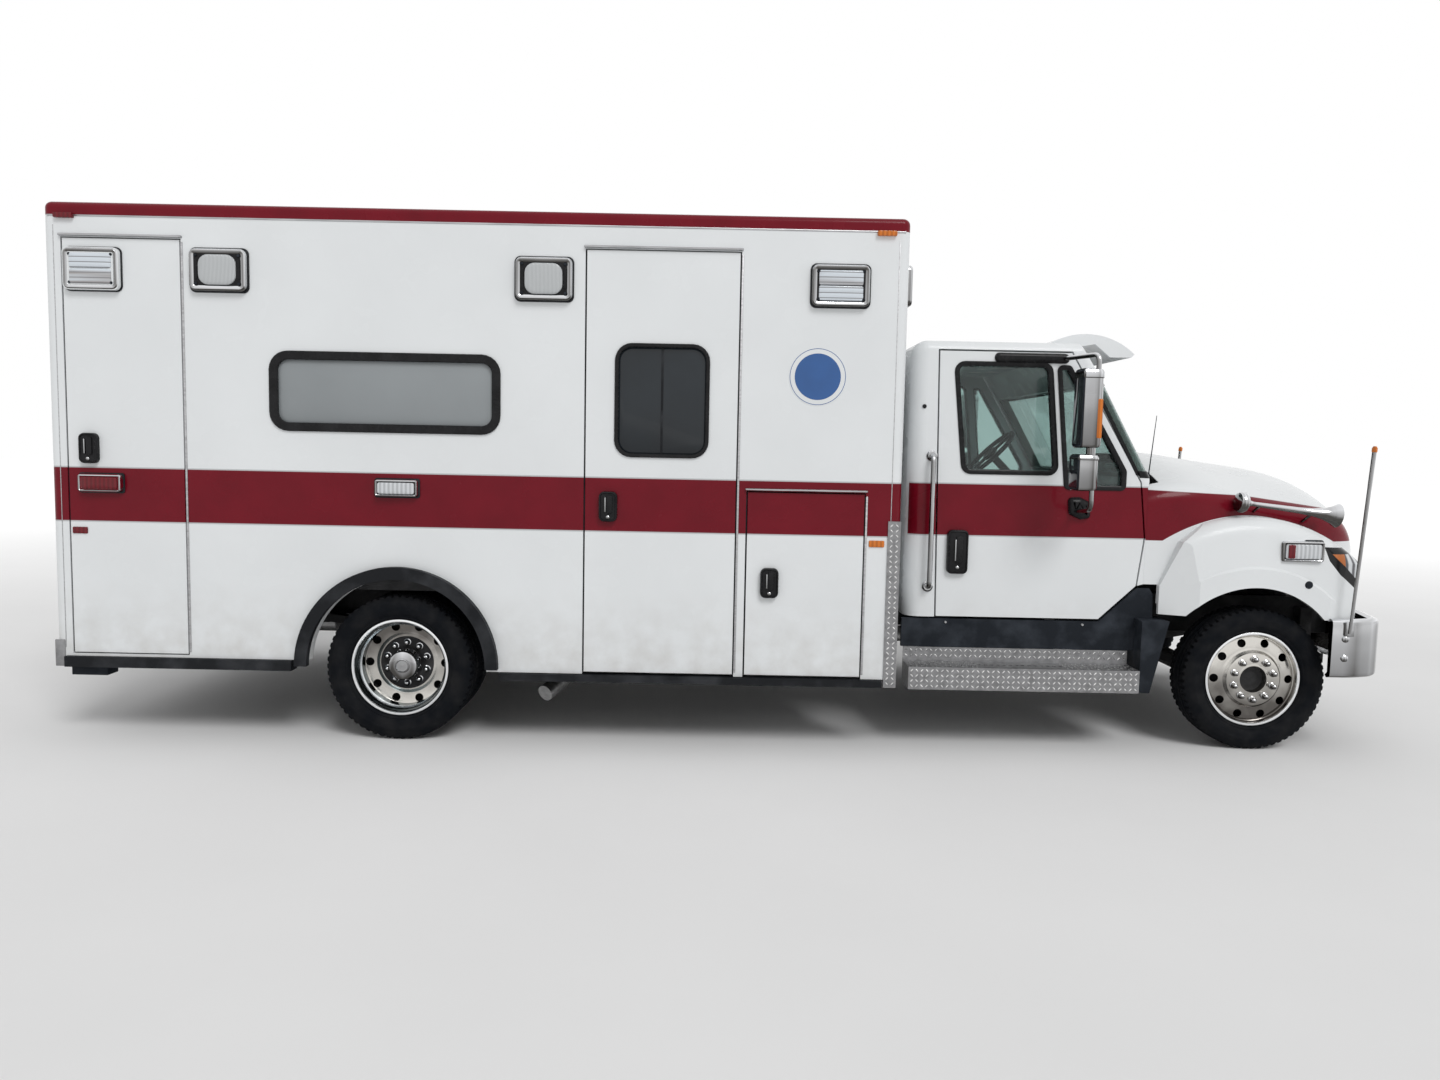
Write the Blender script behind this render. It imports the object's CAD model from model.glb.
"""The looks of a box-bodied ambulance truck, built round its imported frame. Lengths are in metres."""
import math

import bpy
import numpy as np
from mathutils import Matrix, Vector


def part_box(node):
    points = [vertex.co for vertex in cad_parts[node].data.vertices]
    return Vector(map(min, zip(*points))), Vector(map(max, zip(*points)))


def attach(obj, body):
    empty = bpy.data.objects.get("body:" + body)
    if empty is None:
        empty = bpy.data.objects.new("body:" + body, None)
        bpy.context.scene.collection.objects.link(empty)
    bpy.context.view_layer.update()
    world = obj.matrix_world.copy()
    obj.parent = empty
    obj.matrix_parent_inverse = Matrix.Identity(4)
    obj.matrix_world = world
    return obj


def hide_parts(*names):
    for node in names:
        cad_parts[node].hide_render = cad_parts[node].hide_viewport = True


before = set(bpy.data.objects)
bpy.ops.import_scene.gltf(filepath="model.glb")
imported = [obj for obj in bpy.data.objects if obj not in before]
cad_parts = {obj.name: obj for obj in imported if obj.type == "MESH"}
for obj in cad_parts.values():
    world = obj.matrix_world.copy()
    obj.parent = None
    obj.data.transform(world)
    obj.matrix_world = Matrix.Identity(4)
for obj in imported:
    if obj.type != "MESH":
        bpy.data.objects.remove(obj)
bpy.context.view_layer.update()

# X in the tables below is measured forward from the rear axle, Y to the left and Z up from the ground.
tyre_low, tyre_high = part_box("rear_tyres_right")
REAR_AXLE = (tyre_low.x + tyre_high.x) / 2
LEFT = 1
RIGHT = -1
SIDES = (LEFT, RIGHT)
WORD = {LEFT: "left", RIGHT: "right"}

MODULE_HALF = 1.219
MODULE_REAR = -1.810
MODULE_FRONT = 2.660
MODULE_TOP = 2.800
CAB_HALF = 1.010
WHEELBASE = 4.660
AXLE_Z = 0.392

STRIPE_LOW = 1.156
STRIPE_HIGH = 1.434
ROOF_RAIL_Z = 2.731
# A strip of paint this deep on a wall counts as the wall's outside
PAINT_DEPTH = 0.045
# On the hood, the band's top edge falls from each of these X on by so much for each metre
BAND_FALLS = ((4.003, 0.0405), (4.596, 0.085))
HOOD_BAND_LOW = 1.147
HOOD_BAND_HIGH = 1.424
FENDER_CENTRE = (4.607, 0.424)
FENDER_CREST = 0.864
# Windshield: foot of its front face, how far it leans back for each metre up, its height range and the
# length of the legs that bend back round the pillars
GLASS_FOOT = (4.049, 1.493)
GLASS_LEAN = 0.285 / 0.517
GLASS_Z = (1.513, 1.990)
GLASS_LEG = 0.0685
GLASS_CORNER = 0.048


def spot(x, y, z):
    """A point of the frame from its distance ahead of the rear axle, to the left, and up."""
    return Vector((REAR_AXLE + x, y, z))


# Camera, at the photograph's viewpoint

CAMERA_PLACE = spot(1.698, -6.810, 1.602)
CAMERA_LENS = 26.614
CAMERA_YAW = math.radians(-0.1)
CAMERA_PITCH = math.radians(4.93)
CAMERA_ROLL = math.radians(1.16)


def make_camera():
    """The camera that stands where the photographer stood."""
    data = bpy.data.cameras.new("camera")
    data.lens = CAMERA_LENS
    data.sensor_width = 36.0
    data.clip_end = 300.0
    camera = bpy.data.objects.new("camera", data)
    bpy.context.scene.collection.objects.link(camera)
    level = math.cos(CAMERA_PITCH)
    forward = Vector((-math.sin(CAMERA_YAW) * level, math.cos(CAMERA_YAW) * level, -math.sin(CAMERA_PITCH)))
    right = Vector((math.cos(CAMERA_YAW), math.sin(CAMERA_YAW), 0.0))
    up = right.cross(forward)
    rolled_right = right * math.cos(CAMERA_ROLL) + up * math.sin(CAMERA_ROLL)
    rolled_up = up * math.cos(CAMERA_ROLL) - right * math.sin(CAMERA_ROLL)
    turn = Matrix((rolled_right, rolled_up, -forward)).transposed().to_4x4()
    camera.matrix_world = Matrix.Translation(CAMERA_PLACE) @ turn
    bpy.context.scene.camera = camera


# Materials

# Where most of a noise's values lie, and half the width of a soft edge
NOISE_RANGE = (0.3, 0.7)
EDGE_SOFT = 0.0015


class Shader:
    """A material's node tree, with short names for the nodes that the finishes below need."""

    def __init__(self, name, color, roughness, **fixed):
        self.material = bpy.data.materials.new(name)
        self.material.use_nodes = True
        self.tree = self.material.node_tree
        self.surface = self.tree.nodes["Principled BSDF"]
        self.surface.inputs["Base Color"].default_value = (*color, 1.0)
        self.surface.inputs["Roughness"].default_value = roughness
        for words, value in fixed.items():
            self.surface.inputs[words.replace("_", " ").title().replace("Ior", "IOR")].default_value = value
        self.position = self.node("ShaderNodeTexCoord").outputs["Object"]

    def node(self, kind, inputs=None, **settings):
        """Add a node, link or set its inputs by name or number, and set its properties."""
        node = self.tree.nodes.new(kind)
        for key, value in settings.items():
            setattr(node, key, value)
        for key, value in (inputs or {}).items():
            if isinstance(value, bpy.types.NodeSocket):
                self.tree.links.new(value, node.inputs[key])
            else:
                node.inputs[key].default_value = value
        return node

    def maths(self, operation, first, second=0.0):
        return self.node("ShaderNodeMath", {0: first, 1: second}, operation=operation).outputs[0]

    def times(self, first, second):
        return self.maths("MULTIPLY", first, second)

    def plus(self, first, second):
        return self.maths("ADD", first, second)

    def minus(self, first, second):
        return self.maths("SUBTRACT", first, second)

    def most(self, first, second):
        return self.maths("MAXIMUM", first, second)

    def size(self, value):
        """A value without its sign."""
        return self.maths("ABSOLUTE", value)

    def length(self, first, second):
        """The length of a way whose two parts are at right angles."""
        return self.maths("SQRT", self.plus(self.times(first, first), self.times(second, second)))

    def vectors(self, operation, first, second=(0.0, 0.0, 0.0)):
        return self.node("ShaderNodeVectorMath", {0: first, 1: second}, operation=operation).outputs

    def axes(self, vector=None):
        """The three coordinates of a position."""
        return self.node("ShaderNodeSeparateXYZ", {0: vector or self.position}).outputs

    def stretched(self, x, y, z):
        """The position scaled by a factor along each axis."""
        return self.node("ShaderNodeMapping", {"Vector": self.position, "Scale": (x, y, z)}).outputs[0]

    def noise(self, scale, detail=3.0, vector=None):
        inputs = {"Vector": vector or self.position, "Scale": scale, "Detail": detail}
        return self.node("ShaderNodeTexNoise", inputs).outputs["Fac"]

    def cells(self, scale):
        inputs = {"Vector": self.position, "Scale": scale}
        return self.node("ShaderNodeTexVoronoi", inputs).outputs["Distance"]

    def wave(self, scale, direction):
        inputs = {"Vector": self.position, "Scale": scale}
        return self.node("ShaderNodeTexWave", inputs, bands_direction=direction).outputs["Fac"]

    def spread(self, value, low, high, to_low=0.0, to_high=1.0):
        """Map a value from one range to another, clamped."""
        inputs = {0: value, 1: low, 2: high, 3: to_low, 4: to_high}
        return self.node("ShaderNodeMapRange", inputs, clamp=True).outputs[0]

    def above(self, value, edge, soft=EDGE_SOFT):
        return self.spread(value, edge - soft, edge + soft)

    def below(self, value, edge, soft=EDGE_SOFT):
        return self.spread(value, edge - soft, edge + soft, 1.0, 0.0)

    def between(self, value, low, high, soft=EDGE_SOFT):
        return self.times(self.above(value, low, soft), self.below(value, high, soft))

    def drift(self, scale, low=0.0, high=1.0, detail=3.0):
        """A value that wanders between two numbers with a noise."""
        return self.spread(self.noise(scale, detail), *NOISE_RANGE, low, high)

    def blend(self, factor, first, second):
        """Mix two colours, each a socket or three numbers."""
        inputs = {0: factor}
        for key, color in ((6, first), (7, second)):
            inputs[key] = color if isinstance(color, bpy.types.NodeSocket) else (*color, 1.0)
        return self.node("ShaderNodeMix", inputs, data_type="RGBA").outputs[2]

    def varied(self, color, scale, amount, detail=4.0):
        """A colour that drifts lighter and darker with a noise."""
        dark = [part * (1.0 - amount) for part in color]
        light = [min(part * (1.0 + amount), 1.0) for part in color]
        return self.blend(self.drift(scale, detail=detail), dark, light)

    def color(self, socket):
        self.tree.links.new(socket, self.surface.inputs["Base Color"])

    def rough(self, socket):
        self.tree.links.new(socket, self.surface.inputs["Roughness"])

    def bump(self, height, distance):
        """Raise the surface by a height of 0 to 1 times a distance in metres."""
        inputs = {"Height": height, "Distance": distance, "Strength": 1.0}
        self.tree.links.new(self.node("ShaderNodeBump", inputs).outputs[0], self.surface.inputs["Normal"])


WHITE = (0.74, 0.76, 0.77)
RED = (0.150, 0.004, 0.012)
PIN = (0.50, 0.51, 0.52)
PILLAR_GREEN = (0.085, 0.125, 0.110)


def gloss_paint(name, color):
    """Sprayed paint under a clear coat, with road dust low down. Returns the shader and its plain colour."""
    paint = Shader(name, color, 0.30, coat_weight=0.10, coat_roughness=0.04, specular_ior_level=0.12)
    plain = paint.varied(color, 1.7, 0.025)
    paint.rough(paint.drift(5.0, 0.20, 0.30))
    paint.bump(paint.noise(38.0, 1.0), 0.00008)
    return paint, plain


def dusted(paint, color):
    """Road dust that thickens towards the lower edge."""
    low = paint.spread(paint.axes()[2], 0.42, 0.85, 0.5, 0.0)
    patches = paint.spread(paint.noise(9.0, 6.0), 0.35, 0.75)
    return paint.blend(paint.times(low, patches), color, (0.46, 0.44, 0.41))


def module_paint():
    """White with the red band and its thin grey border lines, the red roof rail, and the dim green of the
    pillars behind the legs of the windshield."""
    paint, plain = gloss_paint("module_paint", WHITE)
    x, y, z = paint.axes()
    wide = paint.size(y)
    front = paint.above(x, REAR_AXLE + MODULE_FRONT - 0.047)
    cab_side = paint.times(front, paint.above(wide, CAB_HALF - PAINT_DEPTH))
    rear = REAR_AXLE + MODULE_REAR
    tail = paint.spread(x, rear + 0.045, rear + 0.048, 1.0, 0.0)
    outside = paint.most(paint.above(wide, MODULE_HALF - 0.047), paint.most(cab_side, tail))
    border = paint.between(z, STRIPE_LOW - 0.007, STRIPE_HIGH + 0.007)
    color = paint.blend(paint.times(border, outside), plain, PIN)
    red = paint.varied(RED, 6.0, 0.08)
    color = paint.blend(paint.times(paint.between(z, STRIPE_LOW, STRIPE_HIGH), outside), color, red)
    color = paint.blend(paint.above(z, ROOF_RAIL_Z), color, red)
    slope = paint.times(paint.minus(z, GLASS_FOOT[1]), GLASS_LEAN)
    depth = paint.minus(paint.minus(REAR_AXLE + GLASS_FOOT[0], slope), x)
    leg = paint.times(paint.below(depth, GLASS_LEG, 0.001), paint.between(z, *GLASS_Z))
    pillar = paint.times(leg, paint.above(x, REAR_AXLE + 3.5))
    color = paint.blend(pillar, color, paint.varied(PILLAR_GREEN, 3.0, 0.5))
    paint.color(dusted(paint, color))
    return paint.material


def roof_paint():
    """White on the flat of the roof, red round its rail."""
    paint, plain = gloss_paint("roof_paint", WHITE)
    x, y, z = paint.axes()
    middle = (MODULE_FRONT + MODULE_REAR) / 2 + REAR_AXLE
    half_length = (MODULE_FRONT - MODULE_REAR) / 2
    edge_x = paint.above(paint.size(paint.minus(x, middle)), half_length - PAINT_DEPTH)
    edge_y = paint.above(paint.size(y), MODULE_HALF - PAINT_DEPTH)
    rim = paint.most(edge_x, edge_y)
    paint.color(paint.blend(rim, plain, paint.varied(RED, 5.0, 0.10)))
    return paint.material


def hood_paint():
    """White with the red band, which falls towards the nose and ends at the fender's crest."""
    paint, plain = gloss_paint("hood_paint", WHITE)
    x, y, z = paint.axes()
    first, second = [paint.most(paint.minus(x, REAR_AXLE + start), 0.0) for start, _ in BAND_FALLS]
    drop = paint.plus(paint.times(first, BAND_FALLS[0][1]), paint.times(second, BAND_FALLS[1][1]))
    top = paint.below(paint.plus(z, drop), HOOD_BAND_HIGH, 0.002)
    band = paint.times(top, paint.above(z, HOOD_BAND_LOW))
    side = paint.above(paint.size(y), 0.70)
    run = paint.minus(x, REAR_AXLE + FENDER_CENTRE[0])
    rise = paint.minus(z, FENDER_CENTRE[1])
    beyond = paint.above(paint.length(run, rise), FENDER_CREST + 0.004, 0.001)
    band = paint.times(band, paint.times(side, beyond))
    color = dusted(paint, paint.blend(band, plain, paint.varied(RED, 6.0, 0.08)))
    facing = paint.node("ShaderNodeTexCoord").outputs["Normal"]
    middle = (REAR_AXLE + 4.45, 0.0, 0.80)
    outward = paint.vectors("SUBTRACT", paint.position, middle)["Vector"]
    turn = paint.vectors("DOT_PRODUCT", facing, outward)["Value"]
    inside = paint.spread(turn, -0.05, -0.02, 1.0, 0.0)
    paint.color(paint.blend(inside, color, paint.varied((0.085, 0.086, 0.090), 14.0, 0.25)))
    return paint.material


def plain_paint():
    """White paint with no band."""
    paint, plain = gloss_paint("plain_paint", WHITE)
    paint.color(dusted(paint, plain))
    return paint.material


def bright_metal(name, color, roughness, grain, low=0.30):
    """Chrome or polished aluminium: bright where it faces up and dark where it faces down, with upright
    streaks round bends."""
    metal = Shader(name, color, roughness, metallic=1.0)
    facing = metal.axes(metal.node("ShaderNodeTexCoord").outputs["Normal"])
    lean = metal.plus(facing[2], metal.times(facing[0], 0.30))
    lean = metal.plus(lean, metal.drift(3.0, -0.10, 0.10, 2.0))
    shade = metal.spread(lean, -0.45, 0.45)
    streak = metal.maths("PINGPONG", metal.times(facing[0], 2.4), 0.5)
    shade = metal.minus(shade, metal.times(streak, 0.70))
    dark = [part * low * tone for part, tone in zip(color, (1.06, 1.0, 0.92))]
    metal.color(metal.blend(metal.spread(shade, 0.0, 1.0), dark, color))
    metal.rough(metal.drift(30.0, roughness, roughness + grain, 5.0))
    metal.bump(metal.noise(160.0, 2.0), 0.0001)
    return metal.material


def wheel_metal():
    """Polished wheel: a bright lip, a blue-grey barrel with a bright step, and a dish that drifts from light
    to dark, down the front wheels and up the rear ones."""
    metal = Shader("polished_rim", (0.62, 0.61, 0.59), 0.16, metallic=1.0)
    x, y, z = metal.axes()
    ahead = metal.minus(x, REAR_AXLE)
    front = metal.above(ahead, WHEELBASE / 2)
    run = metal.minus(ahead, metal.times(front, WHEELBASE))
    rise = metal.minus(z, AXLE_Z)
    radius = metal.length(run, rise)
    wide = metal.size(y)
    way = metal.minus(metal.times(front, 2.0), 1.0)
    lean = metal.plus(metal.times(rise, way), metal.drift(7.0, -0.09, 0.09, 2.0))
    color = metal.blend(metal.spread(lean, -0.17, 0.15), (0.150, 0.140, 0.130), (0.66, 0.64, 0.60))
    rear = metal.minus(1.0, front)
    barrel = metal.times(metal.above(wide, 1.036), rear)
    color = metal.blend(barrel, color, (0.150, 0.185, 0.200))
    step = metal.times(metal.between(wide, 1.100, 1.118), rear)
    color = metal.blend(step, color, (0.70, 0.73, 0.75))
    color = metal.blend(metal.above(radius, 0.2435), color, (0.86, 0.87, 0.88))
    metal.color(color)
    metal.rough(metal.drift(30.0, 0.14, 0.24, 5.0))
    metal.bump(metal.noise(160.0, 2.0), 0.0001)
    return metal.material


def brushed_metal(name, color, roughness, scale):
    """Dull metal with grain along X."""
    metal = Shader(name, color, roughness, metallic=1.0)
    grain = metal.noise(scale, 5.0, metal.stretched(0.06, 1.0, 1.0))
    dark = [part * 0.7 for part in color]
    metal.color(metal.blend(metal.spread(grain, 0.35, 0.65), dark, color))
    metal.rough(metal.spread(grain, *NOISE_RANGE, roughness - 0.08, roughness + 0.12))
    metal.bump(grain, 0.0003)
    return metal.material


def tread_plate(name, color, roughness):
    """Aluminium sheet, dull between its raised bars and worn bright on them."""
    metal = Shader(name, color, roughness, metallic=1.0)
    metal.color(metal.varied(color, 26.0, 0.20))
    metal.rough(metal.drift(70.0, roughness - 0.06, roughness + 0.12, 5.0))
    metal.bump(metal.noise(240.0, 3.0), 0.0002)
    return metal.material


def coarse_black(name, color, roughness, scale, depth):
    """Black plastic, rubber or cast iron with a pebbled grain and worn grey patches."""
    black = Shader(name, color, roughness, specular_ior_level=0.10)
    worn = [min(part * 2.2 + 0.012, 1.0) for part in color]
    black.color(black.blend(black.spread(black.noise(7.0, 6.0), 0.45, 0.75), color, worn))
    black.rough(black.drift(18.0, roughness - 0.08, roughness + 0.1))
    black.bump(black.cells(scale), depth)
    return black.material


def tyre_rubber():
    """Tyre rubber with a fine grain and patches of dust."""
    rubber = Shader("tyre_rubber", (0.007, 0.008, 0.010), 0.72, specular_ior_level=0.06)
    dust = rubber.spread(rubber.noise(11.0, 6.0), 0.4, 0.75)
    rubber.color(rubber.blend(dust, (0.006, 0.007, 0.009), (0.016, 0.016, 0.017)))
    rubber.rough(rubber.drift(25.0, 0.62, 0.82))
    rubber.bump(rubber.noise(320.0, 3.0), 0.0005)
    return rubber.material


def window_glass(name, color, roughness=0.02):
    """Tinted pane that lets light through."""
    glass = Shader(name, color, roughness, transmission_weight=1.0, ior=1.45)
    glass.rough(glass.spread(glass.noise(3.0, 5.0), 0.4, 0.8, roughness, roughness + 0.03))
    return glass.material


def simple(name, color, roughness, drift, rough, relief, tint=None, **fixed):
    """A finish with a drifting colour, a wandering roughness and a fine relief. Their numbers are: the noise
    scale and share of the colour's drift; the scale and range of the roughness; the scale, detail and depth
    of the relief, which is made of cells when it has no detail."""
    shader = Shader(name, color, roughness, **fixed)
    shader.color(shader.varied(tint or color, *drift))
    if rough:
        shader.rough(shader.drift(*rough))
    scale, detail, depth = relief
    shader.bump(shader.noise(scale, detail) if detail else shader.cells(scale), depth)
    return shader.material


def lens(name, color, ribs):
    """Moulded lamp lens with fine vertical ribs inside."""
    plastic = Shader(name, color, 0.12, coat_weight=0.25, coat_roughness=0.03, specular_ior_level=0.2)
    ridges = plastic.wave(ribs, "X")
    plastic.color(plastic.blend(plastic.spread(ridges, 0.2, 0.8), [part * 0.72 for part in color], color))
    plastic.rough(plastic.drift(40.0, 0.08, 0.2))
    plastic.bump(ridges, 0.0012)
    return plastic.material


def flash_lens():
    """Clear lens over a stack of lamps that show through as pale and brownish strips."""
    plastic = Shader("flash_lens", (0.56, 0.59, 0.62), 0.12, coat_weight=0.25, coat_roughness=0.03)
    strips = plastic.noise(24.0, 2.0, plastic.stretched(0.02, 0.02, 1.0))
    color = plastic.blend(plastic.spread(strips, 0.40, 0.60), (0.30, 0.27, 0.26), (0.62, 0.67, 0.72))
    lines = plastic.wave(12.0, "Z")
    plastic.color(plastic.blend(plastic.spread(lines, 0.0, 0.15), (0.20, 0.20, 0.21), color))
    plastic.rough(plastic.drift(40.0, 0.08, 0.2))
    plastic.bump(lines, 0.001)
    return plastic.material


def seat_cloth():
    """Woven cloth of the cab seats."""
    cloth = Shader("seat_cloth", (0.085, 0.085, 0.09), 0.9, sheen_weight=0.25)
    weave = cloth.times(cloth.wave(180.0, "Y"), cloth.wave(180.0, "Z"))
    cloth.color(cloth.blend(weave, (0.055, 0.055, 0.06), (0.13, 0.13, 0.14)))
    cloth.rough(cloth.drift(20.0, 0.82, 0.96))
    cloth.bump(weave, 0.0008)
    return cloth.material


def headlamp():
    """A black bezel round an amber side lamp and a clear main lamp with upright fins."""
    lamp = Shader("headlamp", (0.02, 0.02, 0.02), 0.15, coat_weight=0.12, specular_ior_level=0.22)
    x, y, z = lamp.axes()
    ahead = lamp.minus(x, REAR_AXLE + 4.996)
    edge = lamp.minus(z, lamp.minus(1.112, lamp.times(ahead, 0.909)))
    inner = lamp.times(lamp.above(edge, 0.0), lamp.spread(z, 1.096, 1.100, 1.0, 0.0))
    fins = lamp.maths("PINGPONG", lamp.times(lamp.plus(x, lamp.times(y, 0.5)), 40.0), 1.0)
    finned = lamp.blend(lamp.spread(fins, 0.25, 0.6), (0.12, 0.12, 0.13), (0.62, 0.64, 0.66))
    off = lamp.minus(lamp.size(y), 0.905)
    rise = lamp.minus(z, 1.005)
    spread = lamp.length(off, rise)
    bowl = lamp.blend(lamp.between(spread, 0.030, 0.070, 0.004), (0.10, 0.10, 0.11), (0.66, 0.68, 0.70))
    clear = lamp.blend(lamp.above(lamp.size(y), 0.985, 0.006), bowl, finned)
    glass = lamp.blend(lamp.above(x, REAR_AXLE + 5.085), (0.50, 0.16, 0.05), clear)
    lamp.color(lamp.blend(inner, (0.012, 0.012, 0.013), glass))
    lamp.rough(lamp.drift(30.0, 0.08, 0.2))
    lamp.bump(lamp.times(inner, fins), 0.002)
    return lamp.material


# Each finish: its material and the record's material slot
FINISHES = {
    "module_paint": (module_paint(), "white_paint"),
    "roof_paint": (roof_paint(), "white_paint"),
    "hood_paint": (hood_paint(), "white_paint"),
    "plain_paint": (plain_paint(), "white_paint"),
    "badge": (
        simple("badge_paint", (0.012, 0.085, 0.28), 0.25, (8.0, 0.08), None, (80.0, 3.0, 0.0002),
               coat_weight=0.3),
        "white_paint",
    ),
    "chrome": (bright_metal("chrome", (0.78, 0.79, 0.81), 0.06, 0.06, 0.12), "chrome"),
    "rim": (wheel_metal(), "aluminium_rim"),
    "steel": (brushed_metal("steel", (0.42, 0.42, 0.42), 0.42, 60.0), "steel"),
    "trim": (brushed_metal("trim", (0.50, 0.50, 0.51), 0.36, 90.0), "steel"),
    "tread_plate": (tread_plate("tread_plate", (0.27, 0.27, 0.275), 0.42), "tread_plate"),
    "tread_bar": (tread_plate("tread_bar", (0.74, 0.74, 0.73), 0.24), "tread_plate"),
    "cast": (coarse_black("cast", (0.030, 0.030, 0.031), 0.6, 90.0, 0.001), "cast_black"),
    "frame": (coarse_black("frame", (0.020, 0.020, 0.021), 0.45, 160.0, 0.0005), "black_frame"),
    "rubber": (coarse_black("rubber", (0.013, 0.014, 0.016), 0.5, 220.0, 0.0004), "rubber"),
    "plastic": (coarse_black("plastic", (0.014, 0.017, 0.022), 0.55, 260.0, 0.0005), "black_plastic"),
    "gloss_black": (
        simple("gloss_black", (0.010, 0.010, 0.011), 0.22, (12.0, 0.3), (40.0, 0.16, 0.34),
               (300.0, 3.0, 0.0002), tint=(0.013, 0.013, 0.014), specular_ior_level=0.14),
        "black_plastic",
    ),
    "tyre": (tyre_rubber(), "tyre"),
    "cab_glass": (window_glass("cab_glass", (0.50, 0.62, 0.60)), "glass_tint"),
    "dark_glass": (
        simple("dark_glass", (0.012, 0.016, 0.020), 0.04, (2.0, 0.3), None, (2.2, 1.0, 0.002),
               coat_weight=0.2, coat_roughness=0.01, specular_ior_level=0.3),
        "glass_tint",
    ),
    "frosted_glass": (
        simple("frosted_glass", (0.235, 0.255, 0.265), 0.35, (1.6, 0.07), (120.0, 0.3, 0.45),
               (260.0, 3.0, 0.0002), coat_weight=0.3, coat_roughness=0.02),
        "glass_frost",
    ),
    "clear_lens": (lens("clear_lens", (0.62, 0.64, 0.66), 14.0), "lamp_lens"),
    "frosted_lens": (lens("frosted_lens", (0.56, 0.58, 0.59), 46.0), "lamp_lens"),
    "flash_lens": (flash_lens(), "lamp_lens"),
    "red_lens": (lens("red_lens", (0.150, 0.006, 0.012), 14.0), "lamp_lens"),
    "amber_lens": (lens("amber_lens", (0.62, 0.17, 0.02), 14.0), "lamp_lens"),
    "headlamp": (headlamp(), "lamp_lens"),
    "vinyl": (
        simple("vinyl", (0.055, 0.075, 0.16), 0.45, (9.0, 0.18), (30.0, 0.36, 0.55), (420.0, None, 0.0006),
               sheen_weight=0.1),
        "cushion",
    ),
    "seat_cloth": (seat_cloth(), "seat_fabric"),
    "laminate": (
        simple("laminate", (0.60, 0.61, 0.62), 0.35, (30.0, 0.04, 6.0), (20.0, 0.28, 0.45),
               (200.0, 3.0, 0.0003)),
        "cabinet",
    ),
}


# Mesh building. A shape is a list of points and a list of faces.

# Directions along X, Y and Z
LEVEL = ((1, 0, 0), (0, 1, 0), (0, 0, 1))


def turns(count):
    """Angles that share a full turn."""
    return [2 * math.pi * index / count for index in range(count)]


def ring_faces(rings, count, start=0):
    """The faces between rings that each have the same count of points."""
    faces = []
    for ring in range(rings - 1):
        low = start + ring * count
        high = low + count
        for index in range(count):
            after = (index + 1) % count
            faces.append((low + index, low + after, high + after, high + index))
    return faces


def caps(rings, count):
    """The faces that close the first and the last ring."""
    return [tuple(reversed(range(count))), tuple(range((rings - 1) * count, rings * count))]


def rounded_loop(width, height, radius, steps=6):
    """Points round a rectangle with rounded corners, each with its outward direction."""
    loop = []
    for quarter, (side_x, side_y) in enumerate(((1, 1), (-1, 1), (-1, -1), (1, -1))):
        centre_x = side_x * (width / 2 - radius)
        centre_y = side_y * (height / 2 - radius)
        for step in range(steps + 1):
            angle = math.pi / 2 * (quarter + step / steps)
            out = (math.cos(angle), math.sin(angle))
            loop.append((centre_x + radius * out[0], centre_y + radius * out[1], *out))
    return loop


def corner_loop(points, radius, steps=5):
    """Points round a convex outline given anticlockwise, with its corners rounded, each with its outward
    direction."""
    loop = []
    count = len(points)
    for index, corner in enumerate(points):
        here = Vector(corner)
        before = (Vector(points[index - 1]) - here).normalized()
        after = (Vector(points[(index + 1) % count]) - here).normalized()
        half_angle = before.angle(after) / 2
        centre = here + (before + after).normalized() * (radius / math.sin(half_angle))
        first = here + before * (radius / math.tan(half_angle)) - centre
        last = here + after * (radius / math.tan(half_angle)) - centre
        for step in range(steps + 1):
            way = first.slerp(last, step / steps).normalized()
            place = centre + way * radius
            loop.append((place.x, place.y, way.x, way.y))
    return loop


def swept(loop, profile, filled=True):
    """Sweep a profile of offsets and heights round a loop, and close its last ring when filled."""
    points = []
    for out, height in profile:
        points += [(u + out * way_u, v + out * way_v, height) for u, v, way_u, way_v in loop]
    faces = ring_faces(len(profile), len(loop))
    if filled:
        faces += caps(len(profile), len(loop))[1:]
    return points, faces


def pad(width, height, radius, depth, edge=0.003, steps=5):
    """A flat-backed plate with a rounded outline and a softened edge."""
    loop = rounded_loop(width, height, radius, steps)
    return swept(loop, [(0, 0), (0, depth - edge), (-0.3 * edge, depth - 0.3 * edge), (-edge, depth)])


def shifted(shape, u, v, height=0.0):
    """Move a shape in its own flat frame."""
    points, faces = shape
    return [(x + u, y + v, z + height) for x, y, z in points], faces


def on_plane(shape, origin, across, up, out):
    """Put a flat shape in the vehicle's frame, turning its faces when the frame is mirrored."""
    points, faces = shape
    across, up, out = Vector(across), Vector(up), Vector(out)
    placed = [Vector(origin) + across * u + up * v + out * h for u, v, h in points]
    if across.cross(up).dot(out) < 0:
        faces = [tuple(reversed(face)) for face in faces]
    return placed, faces


def on_side(shape, side, depth=MODULE_HALF):
    """Put a flat shape on a side wall, its first axis along X and its second along Z."""
    return on_plane(shape, spot(0, side * depth, 0), (1, 0, 0), (0, 0, 1), (0, side, 0))


def on_rear(shape, side):
    """Put a flat shape on the rear wall, its first axis away from the centre."""
    return on_plane(shape, spot(MODULE_REAR, 0, 0), (0, side, 0), (0, 0, 1), (-1, 0, 0))


def on_front(shape):
    """Put a flat shape on the module's front wall."""
    return on_plane(shape, spot(MODULE_FRONT, 0, 0), (0, 1, 0), (0, 0, 1), (1, 0, 0))


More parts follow.
